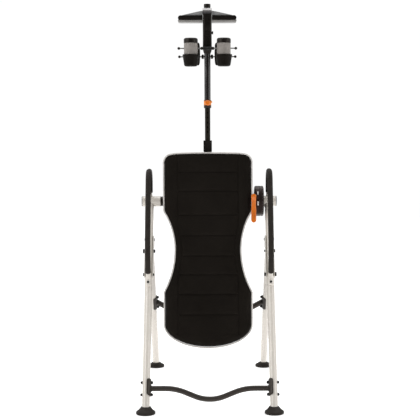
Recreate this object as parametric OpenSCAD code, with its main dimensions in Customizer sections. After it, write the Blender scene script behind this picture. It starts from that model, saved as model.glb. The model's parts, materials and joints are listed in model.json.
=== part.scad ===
// Folding inversion table, shown turned fully upside down: the ankle end is at the top.
// +X is to the right, +Y is to the rear, +Z is up. The origin is on the floor, below the pivot.

/* [Stand] */
// Height of the bed's pivot above the floor
pivot_h = 991; // [980:1:1000]
// Distance of each side frame's centre plane from the middle
side_x = 309; // [306:1:312]
// Distance of each foot's centre from the middle, front and rear
foot_y = 570; // [560:1:580]
// Outer diameter of the leg tubes
leg_d = 38; // [36:0.5:38]
// Wall of the leg tubes
leg_wall = 1.5; // [1.2:0.1:2.5]
// Outer diameter of the rubber feet
foot_d = 93; // [88:1:96]
// Outer diameter of the hub tubes that carry the pivot
hub_d = 54; // [52:1:56]
// Outer diameter of the two floor crossbars
crossbar_d = 25; // [22:1:26]

/* [Hand rails] */
// Outer diameter of the hand rail tube
rail_tube_d = 22; // [20:0.5:23]
// Outer diameter of the foam on the hand rails
grip_d = 28; // [27:0.5:30]

/* [Bed] */
// Sideways offset of the bed from the middle of the stand
bed_x = -7; // [-8:1:0]
// Full width of the backrest
bed_w = 460; // [440:1:460]
// Width of the backrest at its waist
waist_w = 344; // [320:1:360]
// Thickness of the cushion
cushion_t = 48; // [40:1:50]
// Thickness of the board under the cushion
board_t = 10; // [8:1:12]

/* [Boom] */
// Diameter of the indexed tube
index_d = 28; // [27:0.5:29]
// Outer diameter of the tube that slides over it
boom_d = 33; // [32.5:0.5:35]
// Width of the ankle lock's housing
housing_w = 47; // [44:1:50]
// Width of the footplate
footplate_w = 304; // [280:2:310]
// Diameter of the instep rollers
roller_d = 71; // [66:1:74]

/* [Hidden] */
$fn = 64;

gap = 0.3;
bend_step = 8;
fit = 0.05;
foot_h = 38;
leg_r = leg_d / 2;
bore_r = leg_r - leg_wall;
hub_r = hub_d / 2;
front_lean = atan(foot_y / pivot_h);
leg_len = sqrt(foot_y * foot_y + pivot_h * pivot_h);
sides = [-1, 1];

// Hub tubes: inner and outer ends along X
left_hub_x = [-348, -255];
right_hub_x = [284.5, 347];
hub_wall = 3;
axle_r = 10;

// The rear legs fold about a bolt just behind the front legs
fold_z = 795;
fold_y = -(pivot_h - fold_z) * tan(front_lean) + 47;
rear_run = foot_y - fold_y;
rear_lean = atan(rear_run / fold_z);
rear_len = sqrt(rear_run * rear_run + fold_z * fold_z);
rear_stub = 8;
plate_t = 3;
plate_in = leg_r + gap;
bolt_r = 4;
hinge_bolt_r = 5;
bracket_bolt_z = [743, 630];
bracket_z = [617, 811];

// Floor crossbars
front_bar_z = 110;
front_bar_dip = 50;
front_bolt_z = [136, 83];
front_saddle = [114, 88, 5];
rear_bar_s = 474;
rear_bar_centre_s = 608;
rear_bar_flat = 114;
rear_bar_d = 29;
rear_bolt_s = [434, 509];
rear_saddle = [471, 94, 4];

// Hand rails: centreline in the plane of the side frame, as [y, z]
hand_rail_path = [[-269.5, 583], [-253.5, 611], [-288, 715], [-288, 812], [-160, 1150], [0, 1150], [0, 1014]];
hand_rail_bends = [0, 34, 150, 120, 70, 72, 0];
grip_path = [[-263, 640], [-288, 715], [-288, 812], [-160, 1150], [0, 1150], [0, 1036]];
grip_bends = [0, 150, 120, 70, 72, 0];
rail_screw_z = 579;
rail_screw_reach = 41.8;

// Backrest outline
cushion_back = -30;
board_back = cushion_back + board_t;
half_w = bed_w / 2;
half_waist = waist_w / 2;
bed_top = 1246;
bed_round_z = 350;
bed_bottom = 227;
waist_z = 744;
upper_r = 372;
lower_r = 455;
top_corner = 46;
top_crown = 6;

// Brake, beside the bed and round the pivot
housing_x = [234, 261.5];
drum_x = [262.2, 284];
brake_r = 79;
brake_wall = 3;
disc_r = 64;
disc_x = 249;
disc_t = 3;
lever_pin_y = -89;
lever_pin_z = 28;
lever_x = [216.5, 242.5];
lever_drop = 135;

// Boom, along Z
spine_z = [420, 1250];
sleeve_z = [1248, 1308];
index_z = [1180, 1588];
collar_z = [1476, 1518];
boom_z = [1478, 1997];
pin_z = 1502;
index_hole_pitch = 25;
housing_z = [1779, 1958];
band_z = 1992;
housing_y = [-52, 20];
heel_z = 1742;
instep_z = 1776;
cup_z = 1685;
roller_z = [1739.2, 1803];
instep_y = -130;
cup_x = 84;
heel_x = 75;
bar_r = 3.25;
bar_half = 145;
slide_w = 14;
slide_h = 8;
plate_z = [1917, 1957];
plate_y = [-46, 34];
window_clear = 0.15;

boom_r = boom_d / 2;
index_r = index_d / 2;
boom_bore_r = index_r + 0.06;
roller_r = roller_d / 2;

white = [0.93, 0.92, 0.88];
charcoal = [0.16, 0.15, 0.15];
near_black = [0.07, 0.07, 0.07];
orange = [0.95, 0.42, 0.08];
steel = [0.68, 0.68, 0.69];
silver_foam = [0.62, 0.60, 0.57];

// ---------- shared shapes ----------

// A solid bar of round section along X between two x values
module bar_x(x0, x1, r) {
  translate([x0, 0, 0]) rotate([0, 90, 0]) cylinder(h = x1 - x0, r = r);
}

// A hollow round tube along X
module tube_x(x0, x1, r, inner) {
  difference() {
    bar_x(x0, x1, r);
    bar_x(x0 - 1, x1 + 1, inner);
  }
}

// Moves its children into a side frame: along the front leg, from the floor up to the pivot
module on_front_leg(side, along) {
  translate([side * side_x, -foot_y, 0]) rotate([-front_lean, 0, 0]) translate([0, 0, along]) children();
}

// Moves its children along a rear leg, down from the fold hinge towards the foot
module on_rear_leg(side, along) {
  translate([side * side_x, fold_y, fold_z]) rotate([rear_lean, 0, 0]) translate([0, 0, -along]) children();
}

// Length along a front leg at a given height
function front_along(z) = z / cos(front_lean);

// Flat bend geometry: direction, turn and tangent length at each corner of a path
function heading(a, b) = atan2(b[1] - a[1], b[0] - a[0]);
function wrap(a) = a > 180 ? a - 360 : a < -180 ? a + 360 : a;
function turn(p, i) = wrap(heading(p[i], p[i + 1]) - heading(p[i - 1], p[i]));
function setback(p, r, i) = i == 0 || i == len(p) - 1 ? 0 : r[i] * tan(abs(turn(p, i)) / 2);

// Points along a flat path with rounded corners, each as [x, y, heading]
function arc_point(p, h, r, a) = let (s = a < 0 ? -1 : 1)
  [p[0] + s * r * (sin(h + a) - sin(h)), p[1] + s * r * (cos(h) - cos(h + a)), h + a];
function corner_points(p, r, i) = let (
    h = heading(p[i - 1], p[i]),
    b = turn(p, i),
    back = setback(p, r, i),
    n = max(2, ceil(abs(b) / bend_step)),
    start = [p[i][0] - back * cos(h), p[i][1] - back * sin(h)]
  ) [for (k = [0 : n]) arc_point(start, h, r[i], b * k / n)];
function route(p, r) = let (last = len(p) - 1) concat(
  [[p[0][0], p[0][1], heading(p[0], p[1])]],
  [for (i = [1 : last - 1]) each corner_points(p, r, i)],
  [[p[last][0], p[last][1], heading(p[last - 1], p[last])]]
);
function ring(c, r, n) = [
  for (j = [0 : n - 1])
    let (f = 360 * j / n) [c[0] - r * cos(f) * sin(c[2]), c[1] + r * cos(f) * cos(c[2]), r * sin(f)]
];

// A bent round tube along a flat path, swept as one solid
module bent_tube(path, bends, r, inner, n = 18) {
  rings = route(path, bends);
  m = len(rings);
  points = concat([for (c = rings) each ring(c, r, n)], [for (c = rings) each ring(c, inner, n)]);
  walls = [
    for (i = [0 : m - 2])
      for (j = [0 : n - 1])
        let (k = (j + 1) % n, a = i * n, b = (i + 1) * n, v = m * n)
          each [[a + j, b + j, b + k, a + k], [v + a + k, v + b + k, v + b + j, v + a + j]]
  ];
  caps = [
    for (j = [0 : n - 1])
      let (k = (j + 1) % n, e = (m - 1) * n, v = m * n)
        each [[j, k, v + k, v + j], [e + k, e + j, v + e + j, v + e + k]]
  ];
  polyhedron(points = points, faces = concat(walls, caps), convexity = 8);
}

// Puts a flat path's X and Y into the side frame's Y and Z
module in_side_plane(side) {
  translate([side * side_x, 0, 0]) rotate([90, 0, 90]) children();
}

// A hexagonal bolt along X, its head outside, and its nut inside
module bolt_x(x0, x1, r, head_r, head_t, side = 1) {
  bar_x(x0, x1, r);
  translate([side > 0 ? x1 : x0 - head_t, 0, 0]) rotate([0, 90, 0]) cylinder(h = head_t, r = head_r);
  translate([side > 0 ? x0 - head_t : x1, 0, 0]) rotate([0, 90, 0]) cylinder(h = head_t, r = head_r - 1.5, $fn = 6);
}

// ---------- stand, front frame ----------

module front_leg(side) {
  color(white)
  difference() {
    on_front_leg(side, 22) cylinder(h = leg_len - 22, r = leg_r);
    on_front_leg(side, 0) cylinder(h = leg_len + 30, r = bore_r);
    translate([0, 0, pivot_h]) bar_x(-400, 400, hub_r + 0.02);
    for (z = bracket_bolt_z) {
      on_front_leg(side, front_along(z)) bar_x(-60, 60, bolt_r + fit);
    }
    for (z = front_bolt_z) {
      on_front_leg(side, front_along(z)) bar_x(-60, 60, bolt_r + fit);
    }
    on_front_leg(side, front_along(rail_screw_z)) rotate([90, 0, 0]) cylinder(h = 60, r = 3.1);
  }
}

module left_front_leg() { front_leg(-1); }
module right_front_leg() { front_leg(1); }

// A low rubber boot: a flared base, and a collar that follows the leg's lean
module foot(lean) {
  difference() {
    union() {
      rotate_extrude()
        polygon([
          [0, 0], [foot_d / 2 - 3, 0], [foot_d / 2, 3], [foot_d / 2, 13], [foot_d / 2 - 4, 17],
          [leg_r + 8, foot_h - 3], [leg_r + 4, foot_h], [0, foot_h]
        ]);
      rotate([lean, 0, 0]) translate([0, 0, 20]) cylinder(h = 60, r = leg_r + 4);
    }
    rotate([lean, 0, 0]) translate([0, 0, 22]) cylinder(h = 80, r = leg_r + fit);
    translate([0, 0, -50]) cube([200, 200, 100], center = true);
    translate([0, 0, foot_h + 50]) cube([200, 200, 100], center = true);
  }
}

module left_front_foot() { color(charcoal) translate([-side_x, -foot_y, 0]) foot(-front_lean); }
module right_front_foot() { color(charcoal) translate([side_x, -foot_y, 0]) foot(-front_lean); }

// A curved plate that backs onto the inner half of a leg; its size is [middle, height, thickness]
module leg_saddle(side, size) {
  difference() {
    cylinder(h = size[1], r = leg_r + gap + size[2], center = true);
    translate([side * 47, 0, 0]) cube([100, 100, size[1] + 2], center = true);
  }
}

// The front crossbar dips in the middle, with a saddle at each end against the leg
module front_crossbar() {
  bar_y = -foot_y + front_bar_z * tan(front_lean);
  bar_end = side_x - 12;
  color(charcoal)
  difference() {
    union() {
      translate([0, bar_y, 0])
        rotate([90, 0, 0])
        bent_tube(
          [[-bar_end, front_bar_z], [-168, front_bar_z], [0, front_bar_dip], [168, front_bar_z], [bar_end, front_bar_z]],
          [0, 150, 150, 150, 0],
          crossbar_d / 2, crossbar_d / 2 - 1.5
        );
      for (side = sides) {
        on_front_leg(side, front_along(front_saddle[0])) leg_saddle(side, front_saddle);
      }
    }
    for (side = sides) {
      on_front_leg(side, 0) cylinder(h = 260, r = leg_r + gap);
      for (z = front_bolt_z) {
        on_front_leg(side, front_along(z)) bar_x(-60, 60, bolt_r + fit);
      }
    }
  }
}

module front_crossbar_bolts() {
  color(near_black)
  for (side = sides) {
    for (z = front_bolt_z) {
      on_front_leg(side, front_along(z))
        bolt_x(
          side < 0 ? -leg_r : -leg_r - front_saddle[2] - gap, side < 0 ? leg_r + front_saddle[2] + gap : leg_r,
          bolt_r, 8, 5, -side
        );
    }
  }
}

module hub(x0, x1, side) {
  color(white)
  translate([0, 0, pivot_h]) tube_x(x0, x1, hub_r, hub_r - hub_wall);
}

module left_hub() { hub(left_hub_x[0], left_hub_x[1], -1); }
module right_hub() { hub(right_hub_x[0], right_hub_x[1], 1); }

// Round plastic plugs that close the outer ends of the hub tubes
module hub_caps() {
  color([0.45, 0.45, 0.45])
  for (side = sides) {
    translate([side * 348, 0, pivot_h])
      rotate([0, side * 90, 0])
      rotate_extrude()
      polygon([
        [0, side > 0 ? -6 : -5], [hub_r - hub_wall - fit, side > 0 ? -6 : -5],
        [hub_r - hub_wall - fit, side > 0 ? -1 : 0], [hub_r, side > 0 ? -1 : 0],
        [hub_r, 2], [hub_r - 3, 5], [0, 6]
      ]);
  }
}

module hub_bearings() {
  color([0.85, 0.85, 0.82])
  translate([0, 0, pivot_h])
  for (x = [left_hub_x[1] - 18, left_hub_x[0] + 16, right_hub_x[0] + 2, right_hub_x[1] - 26]) {
    tube_x(x, x + 12, hub_r - hub_wall - fit, axle_r + 0.05);
  }
}

// A bracket round the top of the rear leg: two side plates and a stop plate behind the leg
module hinge_bracket(side) {
  low = front_along(bracket_z[0]);
  high = front_along(bracket_z[1]);
  color([0.80, 0.79, 0.75])
  difference() {
    union() {
      for (face = sides) {
        plate_x = face * (plate_in + plate_t / 2);
        translate([plate_x, 0, 0]) {
          on_front_leg(side, (low + high) / 2) cube([plate_t, leg_d - 2, high - low], center = true);
          translate([side * side_x, fold_y, fold_z]) rotate([0, 90, 0]) cylinder(h = plate_t, r = 21, center = true);
          translate([side * side_x, (fold_y - 100) / 2, fold_z - 12]) cube([plate_t, 46, 62], center = true);
          on_rear_leg(side, 24) translate([0, 5, 0]) cube([plate_t, 34, 48], center = true);
        }
      }
      on_rear_leg(side, 30) translate([0, leg_r + gap + plate_t / 2, 0])
        cube([2 * plate_in + plate_t, plate_t, 36], center = true);
    }
    translate([side * side_x, fold_y, fold_z]) bar_x(-60, 60, hinge_bolt_r + fit);
    for (z = bracket_bolt_z) {
      on_front_leg(side, front_along(z)) bar_x(-60, 60, bolt_r + fit);
    }
  }
}

module left_hinge_bracket() { hinge_bracket(-1); }
module right_hinge_bracket() { hinge_bracket(1); }

module fold_hinge_bolts() {
  half = plate_in + plate_t;
  color(steel)
  for (side = sides) {
    translate([side * side_x, fold_y, fold_z]) bolt_x(-half, half, hinge_bolt_r, 9, 5, side);
  }
}

module bracket_bolts() {
  half = plate_in + plate_t;
  color(near_black)
  for (side = sides) {
    for (i = [0, 1]) {
      on_front_leg(side, front_along(bracket_bolt_z[i]))
        bolt_x(-half, half, bolt_r, (i == 0) == (side < 0) ? 11 : 8, (i == 0) == (side < 0) ? 9 : 6, side);
    }
  }
}

// ---------- hand rails ----------

module hand_rail(side) {
  color(white)
  difference() {
    in_side_plane(side) bent_tube(hand_rail_path, hand_rail_bends, rail_tube_d / 2, rail_tube_d / 2 - 1.5);
    translate([0, 0, pivot_h]) bar_x(-400, 400, hub_r + 0.02);
    on_front_leg(side, 400) cylinder(h = 500, r = leg_r + 0.02);
    on_front_leg(side, front_along(rail_screw_z)) rotate([90, 0, 0]) cylinder(h = 60, r = 3.1);
  }
}

module left_hand_rail() { hand_rail(-1); }
module right_hand_rail() { hand_rail(1); }

module grip(side) {
  color(charcoal)
  in_side_plane(side)
  bent_tube(grip_path, grip_bends, grip_d / 2, rail_tube_d / 2 + gap);
}

module left_grip() { grip(-1); }
module right_grip() { grip(1); }

module hand_rail_screws() {
  color(near_black)
  for (side = sides) {
    on_front_leg(side, front_along(rail_screw_z))
      rotate([90, 0, 0]) {
        translate([0, 0, leg_r - 8]) cylinder(h = rail_screw_reach - leg_r + 8, r = 3);
        translate([0, 0, rail_screw_reach]) cylinder(h = 3.5, r = 6);
      }
  }
}

// ---------- stand, rear frame ----------

module rear_leg(side) {
  color(white)
  difference() {
    on_rear_leg(side, rear_len - 22) cylinder(h = rear_len - 22 + rear_stub, r = leg_r);
    on_rear_leg(side, rear_len) cylinder(h = rear_len + 40, r = bore_r);
    translate([side * side_x, fold_y, fold_z]) bar_x(-60, 60, hinge_bolt_r + fit);
    for (s = rear_bolt_s) {
      on_rear_leg(side, s) bar_x(-60, 60, bolt_r + fit);
    }
  }
}

module left_rear_leg() { rear_leg(-1); }
module right_rear_leg() { rear_leg(1); }
module left_rear_foot() { color(charcoal) translate([-side_x, foot_y, 0]) foot(rear_lean); }
module right_rear_foot() { color(charcoal) translate([side_x, foot_y, 0]) foot(rear_lean); }

// The rear crossbar lies in the plane of the rear legs and dips in the middle
module rear_crossbar() {
  bar_end = side_x - 12;
  color(charcoal)
  translate([0, fold_y, fold_z])
  rotate([rear_lean, 0, 0])
  difference() {
    union() {
      rotate([90, 0, 0])
        bent_tube(
          [
            [-bar_end, 8 - rear_bar_s], [-rear_bar_flat, -rear_bar_centre_s],
            [rear_bar_flat, -rear_bar_centre_s], [bar_end, 8 - rear_bar_s]
          ],
          [0, 110, 110, 0],
          rear_bar_d / 2, rear_bar_d / 2 - 1.5
        );
      for (side = sides) {
        translate([side * side_x, 0, -rear_saddle[0]]) leg_saddle(side, rear_saddle);
      }
    }
    for (side = sides) {
      translate([side * side_x, 0, -700]) cylinder(h = 500, r = leg_r + gap);
      for (s = rear_bolt_s) {
        translate([side * side_x, 0, -s]) bar_x(-60, 60, bolt_r + fit);
      }
    }
  }
}

module rear_crossbar_bolts() {
  color(near_black)
  for (side = sides) {
    for (s = rear_bolt_s) {
      on_rear_leg(side, s)
        bolt_x(
          side < 0 ? -leg_r : -leg_r - rear_saddle[2] - gap, side < 0 ? leg_r + rear_saddle[2] + gap : leg_r,
          bolt_r, 8, 6, -side
        );
    }
  }
}

// ---------- bed ----------

function outline_half(z) =
  z < bed_round_z ? half_w * sqrt(max(0, 1 - pow((bed_round_z - z) / (bed_round_z - bed_bottom), 2)))
  : z < waist_z ? min(half_w, half_waist + lower_r - sqrt(pow(lower_r, 2) - pow(min(waist_z - z, lower_r), 2)))
  : z < bed_top - top_corner ? min(half_w, half_waist + upper_r - sqrt(pow(upper_r, 2) - pow(min(z - waist_z, upper_r), 2)))
  : half_w;

// Half of the outline, from the rounded head end up to the straight top end
function round_end(n) = [for (i = [0 : n]) [half_w * sin(90 * i / n), bed_round_z - (bed_round_z - bed_bottom) * cos(90 * i / n)]];
function flank(n) = [for (i = [1 : n]) let (z = 500 + (970 - 500) * i / n) [outline_half(z), z]];
function corner(n) = [
  for (i = [0 : n])
    [half_w - top_corner + top_corner * cos(90 * i / n), bed_top - top_crown - top_corner + top_corner * sin(90 * i / n)]
];
half_outline = concat(round_end(14), flank(26), corner(6), [[half_w / 2, bed_top - 1.5], [0, bed_top]]);
full_outline = concat(
  half_outline,
  [for (i = [len(half_outline) - 2 : -1 : 1]) [-half_outline[i][0], half_outline[i][1]]]
);

// The backrest outline as a slab between two y values
module bed_slab(y0, y1) {
  translate([bed_x, y1, 0]) rotate([90, 0, 0]) linear_extrude(height = y1 - y0) polygon(full_outline);
}

module cushion() {
  color(near_black)
  bed_slab(cushion_back - cushion_t, cushion_back);
}

module backboard() {
  color([0.10, 0.10, 0.10])
  difference() {
    bed_slab(cushion_back + fit, board_back);
    for (p = strap_holes()) {
      translate([p[0], 0, p[1]]) rotate([90, 0, 0]) cylinder(h = 60, r = 3 + fit, center = true);
    }
  }
}

// Flat steel straps behind the board, welded to the spine
strap_z = [452, 660, 1130];
strap_half = [170, 130, 170];
function strap_holes() = [for (i = [0 : 2]) for (s = sides) [bed_x + s * (strap_half[i] - 20), strap_z[i]]];

module board_straps() {
  color(charcoal)
  difference() {
    for (i = [0 : 2]) {
      translate([bed_x, board_back + fit + 2, strap_z[i]]) cube([2 * strap_half[i], 4, 34], center = true);
    }
    for (p = strap_holes()) {
      translate([p[0], 0, p[1]]) rotate([90, 0, 0]) cylinder(h = 60, r = 3 + fit, center = true);
    }
  }
}

module board_screws() {
  color(steel)
  for (p = strap_holes()) {
    translate([p[0], cushion_back + 1, p[1]]) rotate([-90, 0, 0]) {
      cylinder(h = board_t + 4 + 0.1 - 1, r = 3);
      translate([0, 0, board_t + 3.2]) cylinder(h = 4, r = 6);
    }
  }
}

// The spine is a rectangular tube behind the board, from the head end to the boom
module bed_spine() {
  color(near_black)
  difference() {
    translate([bed_x - 20, board_back + 4 + 2 * fit, spine_z[0]]) cube([40, 34, spine_z[1] - spine_z[0]]);
    translate([bed_x - 18, board_back + 6 + 2 * fit, spine_z[0] - 1]) cube([36, 30, 700]);
    translate([bed_x, 0, 1110]) cylinder(h = 200, r = index_r + fit);
    translate([0, 0, pivot_h]) bar_x(-400, 400, 17 + fit);
  }
}

module spine_sleeve() {
  color(near_black)
  difference() {
    translate([bed_x - 22, -19, sleeve_z[0] + 2.5]) cube([44, 41, sleeve_z[1] - sleeve_z[0] - 2.5]);
    translate([bed_x, 0, 1200]) cylinder(h = 200, r = index_r + fit);
  }
}

// The indexed tube is fixed in the spine, and the boom slides on it
module index_tube() {
  color([0.12, 0.12, 0.12])
  difference() {
    translate([bed_x, 0, index_z[0]]) cylinder(h = index_z[1] - index_z[0], r = index_r);
    translate([bed_x, 0, index_z[0] - 1]) cylinder(h = index_z[1] - index_z[0] + 2, r = index_r - 2.5);
    for (i = [-6 : 3]) {
      translate([bed_x, 0, pin_z + i * index_hole_pitch]) rotate([90, 0, 0]) cylinder(h = 30, r = 4.3);
    }
  }
}

module pivot_tube() {
  color(near_black)
  translate([0, 0, pivot_h]) tube_x(bed_x - half_w - 0.4, bed_x + half_w + 0.6, 17, axle_r + fit);
}

module pivot_axle() {
  color(steel)
  translate([0, 0, pivot_h]) bar_x(-334, 336, axle_r);
}

module axle_nuts() {
  color(steel)
  translate([0, 0, pivot_h]) {
    translate([-342, 0, 0]) rotate([0, 90, 0]) cylinder(h = 8, r = 15, $fn = 6);
    translate([336, 0, 0]) rotate([0, 90, 0]) cylinder(h = 5.5, r = 15, $fn = 6);
  }
}

module left_pivot_collar() {
  color(near_black)
  translate([0, 0, pivot_h])
  difference() {
    bar_x(left_hub_x[1] + 0.5, bed_x - half_w - 0.4, 25);
    bar_x(-260, -230, axle_r + fit);
  }
}

// ---------- brake ----------

// The half of the brake case that turns with the bed
module brake_housing() {
  color(charcoal)
  difference() {
    union() {
      translate([0, 0, pivot_h]) {
        difference() {
          bar_x(housing_x[0], housing_x[1], brake_r);
          bar_x(housing_x[0] + brake_wall, housing_x[1] + 1, brake_r - brake_wall);
        }
        bar_x(bed_x + half_w + 0.6, 244, 22);
      }
      translate([248, lever_pin_y - 7, pivot_h + lever_pin_z - 10]) cube([9, 20.5, 18]);
    }
    translate([0, 0, pivot_h]) bar_x(200, 300, axle_r + fit);
    translate([0, lever_pin_y, pivot_h + lever_pin_z]) bar_x(200, 300, 4 + fit);
  }
}

// The half of the case that stays with the stand
module brake_drum() {
  color(charcoal)
  translate([0, 0, pivot_h])
  difference() {
    union() {
      difference() {
        bar_x(drum_x[0], drum_x[1], brake_r);
        bar_x(drum_x[0] - 1, drum_x[1] - brake_wall, brake_r - brake_wall);
      }
      bar_x(disc_x + disc_t, drum_x[1], 22);
    }
    bar_x(200, 300, axle_r + 1);
  }
}

module brake_disc() {
  color(steel)
  translate([0, 0, pivot_h])
  difference() {
    bar_x(disc_x, disc_x + disc_t - fit, disc_r);
    bar_x(200, 300, axle_r + 2);
    for (a = [0 : 30 : 330]) {
      rotate([a, 0, 0]) translate([0, 0, 40]) bar_x(200, 300, 5);
    }
  }
}

// The caliper reaches round the edge of the disc at the front of the case
module brake_caliper() {
  color([0.25, 0.25, 0.26])
  translate([0, 0, pivot_h])
  difference() {
    translate([housing_x[0] + brake_wall + fit, -72, -20]) cube([24, 28, 40]);
    translate([244.5, -68.5, -21]) cube([12, 30, 42]);
    translate([disc_x - 0.6, -68.5, -21]) cube([4.2, 30, 42]);
  }
}

module brake_pads() {
  color([0.30, 0.22, 0.18])
  translate([0, 0, pivot_h])
  for (x = [244.55, disc_x + disc_t + 0.35]) {
    translate([x, -62, -17]) cube([x < disc_x ? 4.1 : 4.0, 20, 34]);
  }
}

module brake_lever_pin() {
  color(steel)
  translate([0, lever_pin_y, pivot_h + lever_pin_z]) {
    bar_x(lever_x[0] - 1, 257, 4);
    bar_x(lever_x[0] - 4, lever_x[0] - 1, 6);
  }
}

// A flat paddle that hangs from its pin in front of the case
module brake_lever() {
  lever_w = lever_x[1] - lever_x[0];
  lever_c = (lever_x[0] + lever_x[1]) / 2;
  color(orange)
  difference() {
    union() {
      translate([0, lever_pin_y, pivot_h + lever_pin_z]) bar_x(lever_x[0], lever_x[1], 9);
      translate([lever_c, lever_pin_y + 2, pivot_h + lever_pin_z - lever_drop])
        rotate([90, 0, 0])
        linear_extrude(height = 9) {
          translate([-lever_w / 2, lever_w / 2]) square([lever_w, lever_drop + 6 - lever_w / 2]);
          translate([0, lever_w / 2]) circle(r = lever_w / 2);
        }
      translate([lever_c, lever_pin_y - 2.5, pivot_h + lever_pin_z + 4])
        rotate([90, 0, 0])
        cylinder(h = 9, r = lever_w / 2, center = true);
    }
    translate([0, lever_pin_y, pivot_h + lever_pin_z]) bar_x(200, 300, 4.06);
  }
}

// ---------- boom ----------

module boom_tube() {
  color([0.18, 0.18, 0.19])
  difference() {
    translate([bed_x, 0, boom_z[0]]) cylinder(h = boom_z[1] - boom_z[0], r = boom_r);
    translate([bed_x, 0, boom_z[0] - 1]) cylinder(h = boom_z[1] - boom_z[0] + 2, r = boom_bore_r);
    translate([0, 0, heel_z]) bar_x(-100, 100, bar_r + fit);
    translate([bed_x, -10, pin_z]) rotate([90, 0, 0]) cylinder(h = 30, r = 4.05);
    translate([bed_x - slide_w / 2 - window_clear, -30, instep_z - slide_h / 2 - window_clear])
      cube([slide_w + 2 * window_clear, 60, slide_h + 2 * window_clear]);
  }
}

module boom_end_cap() {
  color(near_black)
  translate([bed_x, 0, boom_z[1]]) {
    translate([0, 0, -12]) cylinder(h = 12.5, r = boom_bore_r - fit);
    cylinder(h = 14, r = boom_r + 1);
    translate([0, 0, 14]) cylinder(h = 3, r1 = boom_r + 1, r2 = boom_r - 3);
  }
}

// A clamp round the lower end of the boom tube, with a nose on the right
module height_collar() {
  color(orange)
  difference() {
    union() {
      translate([bed_x, 0, collar_z[0]]) cylinder(h = collar_z[1] - collar_z[0], r = boom_r + 2.5);
      translate([bed_x, 0, pin_z]) rotate([90, 0, 0]) cylinder(h = 38, r = 11);
      translate([bed_x + 6, -9, pin_z + 2]) cube([22, 14, 14]);
    }
    translate([bed_x, 0, collar_z[0] + 2]) cylinder(h = 60, r = boom_r + fit);
    translate([bed_x, 0, collar_z[0] - 1]) cylinder(h = 60, r = index_r + 0.1);
    translate([bed_x, -10, pin_z]) rotate([90, 0, 0]) cylinder(h = 40, r = 4.05);
    translate([bed_x, -19, pin_z]) rotate([90, 0, 0]) cylinder(h = 16, r = 8);
    translate([bed_x + 34, 0, pin_z + 18]) rotate([0, 45, 0]) cube([14, 60, 30], center = true);
  }
}

// The pull pin that locks the boom's length, with its round knob
module height_knob() {
  color(orange)
  translate([bed_x, 0, pin_z])
  rotate([90, 0, 0]) {
    translate([0, 0, index_r + gap]) cylinder(h = 30, r = 4);
    translate([0, 0, 19.2]) cylinder(h = 2, r = 7.6);
    translate([0, 0, 39]) cylinder(h = 6, r = 9);
    translate([0, 0, 44]) cylinder(h = 10, r = 14);
    translate([0, 0, 54]) cylinder(h = 3, r1 = 14, r2 = 11);
  }
}

// The return spring behind the pin's shoulder, drawn as touching turns
module height_spring() {
  color(steel)
  translate([bed_x, 0, pin_z])
  rotate([90, 0, 0])
  translate([0, 0, 21.3])
  difference() {
    cylinder(h = 13.6, r = 7.4);
    translate([0, 0, -1]) cylinder(h = 16, r = 5);
  }
}

// The ankle lock's case wraps the boom tube and tapers at its lower end
module ankle_housing() {
  mid_y = (housing_y[0] + housing_y[1]) / 2;
  depth = housing_y[1] - housing_y[0];
  color(near_black)
  difference() {
    union() {
      translate([bed_x - housing_w / 2, housing_y[0], housing_z[0]]) cube([housing_w, depth, housing_z[1] - housing_z[0]]);
      translate([bed_x, 0, 0]) rotate([90, 0, 90]) linear_extrude(height = housing_w, center = true)
        polygon([
          [housing_y[0], housing_z[0] + 0.1], [housing_y[1], housing_z[0] + 0.1],
          [housing_y[1], housing_z[0] - 8], [18, housing_z[0] - 22], [-18, housing_z[0] - 22], [housing_y[0] + 6, housing_z[0] - 4]
        ]);
    }
    translate([bed_x, 0, 1700]) cylinder(h = 400, r = boom_r + fit);
    translate([bed_x - slide_w / 2 - window_clear, -90, instep_z - slide_h / 2 - window_clear])
      cube([slide_w + 2 * window_clear, 140, slide_h + 2 * window_clear]);
    translate([0, -26, 1863]) bar_x(bed_x + 3, 60, 7 + fit);
    for (s = sides) {
      translate([bed_x + s * (housing_w / 2 + 6), mid_y, housing_z[0] - 26]) rotate([0, s * 38, 0]) cube([14, 100, 60], center = true);
    }
  }
}

// A bright cover over the case's upper end, curved over to the rear
module housing_band() {
  color(steel)
  difference() {
    intersection() {
      translate([bed_x - housing_w / 2 - 0.5, housing_y[0], housing_z[1] + fit]) cube([housing_w + 1, 60, band_z - housing_z[1]]);
      translate([0, housing_y[0] + 46, housing_z[1] - 12]) bar_x(-60, 60, 46);
    }
    translate([bed_x, 0, 1700]) cylinder(h = 400, r = boom_r + fit);
  }
}

module lock_button() {
  color(near_black)
  translate([0, -26, 1863]) {
    bar_x(bed_x + 8, bed_x + housing_w / 2 + 3.6, 7);
    bar_x(bed_x + housing_w / 2 + 3.6, bed_x + housing_w / 2 + 7, 8.5);
  }
}

// The tread that the soles rest against
module footplate() {
  color([0.2, 0.2, 0.2])
  difference() {
    translate([bed_x, plate_y[1], 0])
      rotate([90, 0, 0])
      linear_extrude(height = plate_y[1] - plate_y[0]) {
        for (s = sides) {
          translate([s * (footplate_w / 2 - 17), plate_z[0] + 17]) circle(r = 17);
        }
        translate([-footplate_w / 2 + 17, plate_z[0]]) square([footplate_w - 34, 34]);
      }
    translate([bed_x - housing_w / 2 - fit, -100, 1900]) cube([housing_w + 2 * fit, 100 + housing_y[1] + fit, 100]);
  }
}

// A sloping steel gusset on the tread's far side
module footplate_gusset() {
  color([0.55, 0.55, 0.55])
  difference() {
    translate([bed_x, plate_y[1] - 6, 0])
      rotate([90, 0, 0])
      linear_extrude(height = plate_y[1] - plate_y[0] - 12)
      polygon([[-footplate_w / 2 + 17, 1951.1], [footplate_w / 2 - 17, 1951.1], [30, 1975], [-30, 1975]]);
    translate([bed_x - housing_w / 2 - 0.6, -100, 1900]) cube([housing_w + 1.2, 100 + housing_y[1] + fit, 100]);
  }
}

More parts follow.
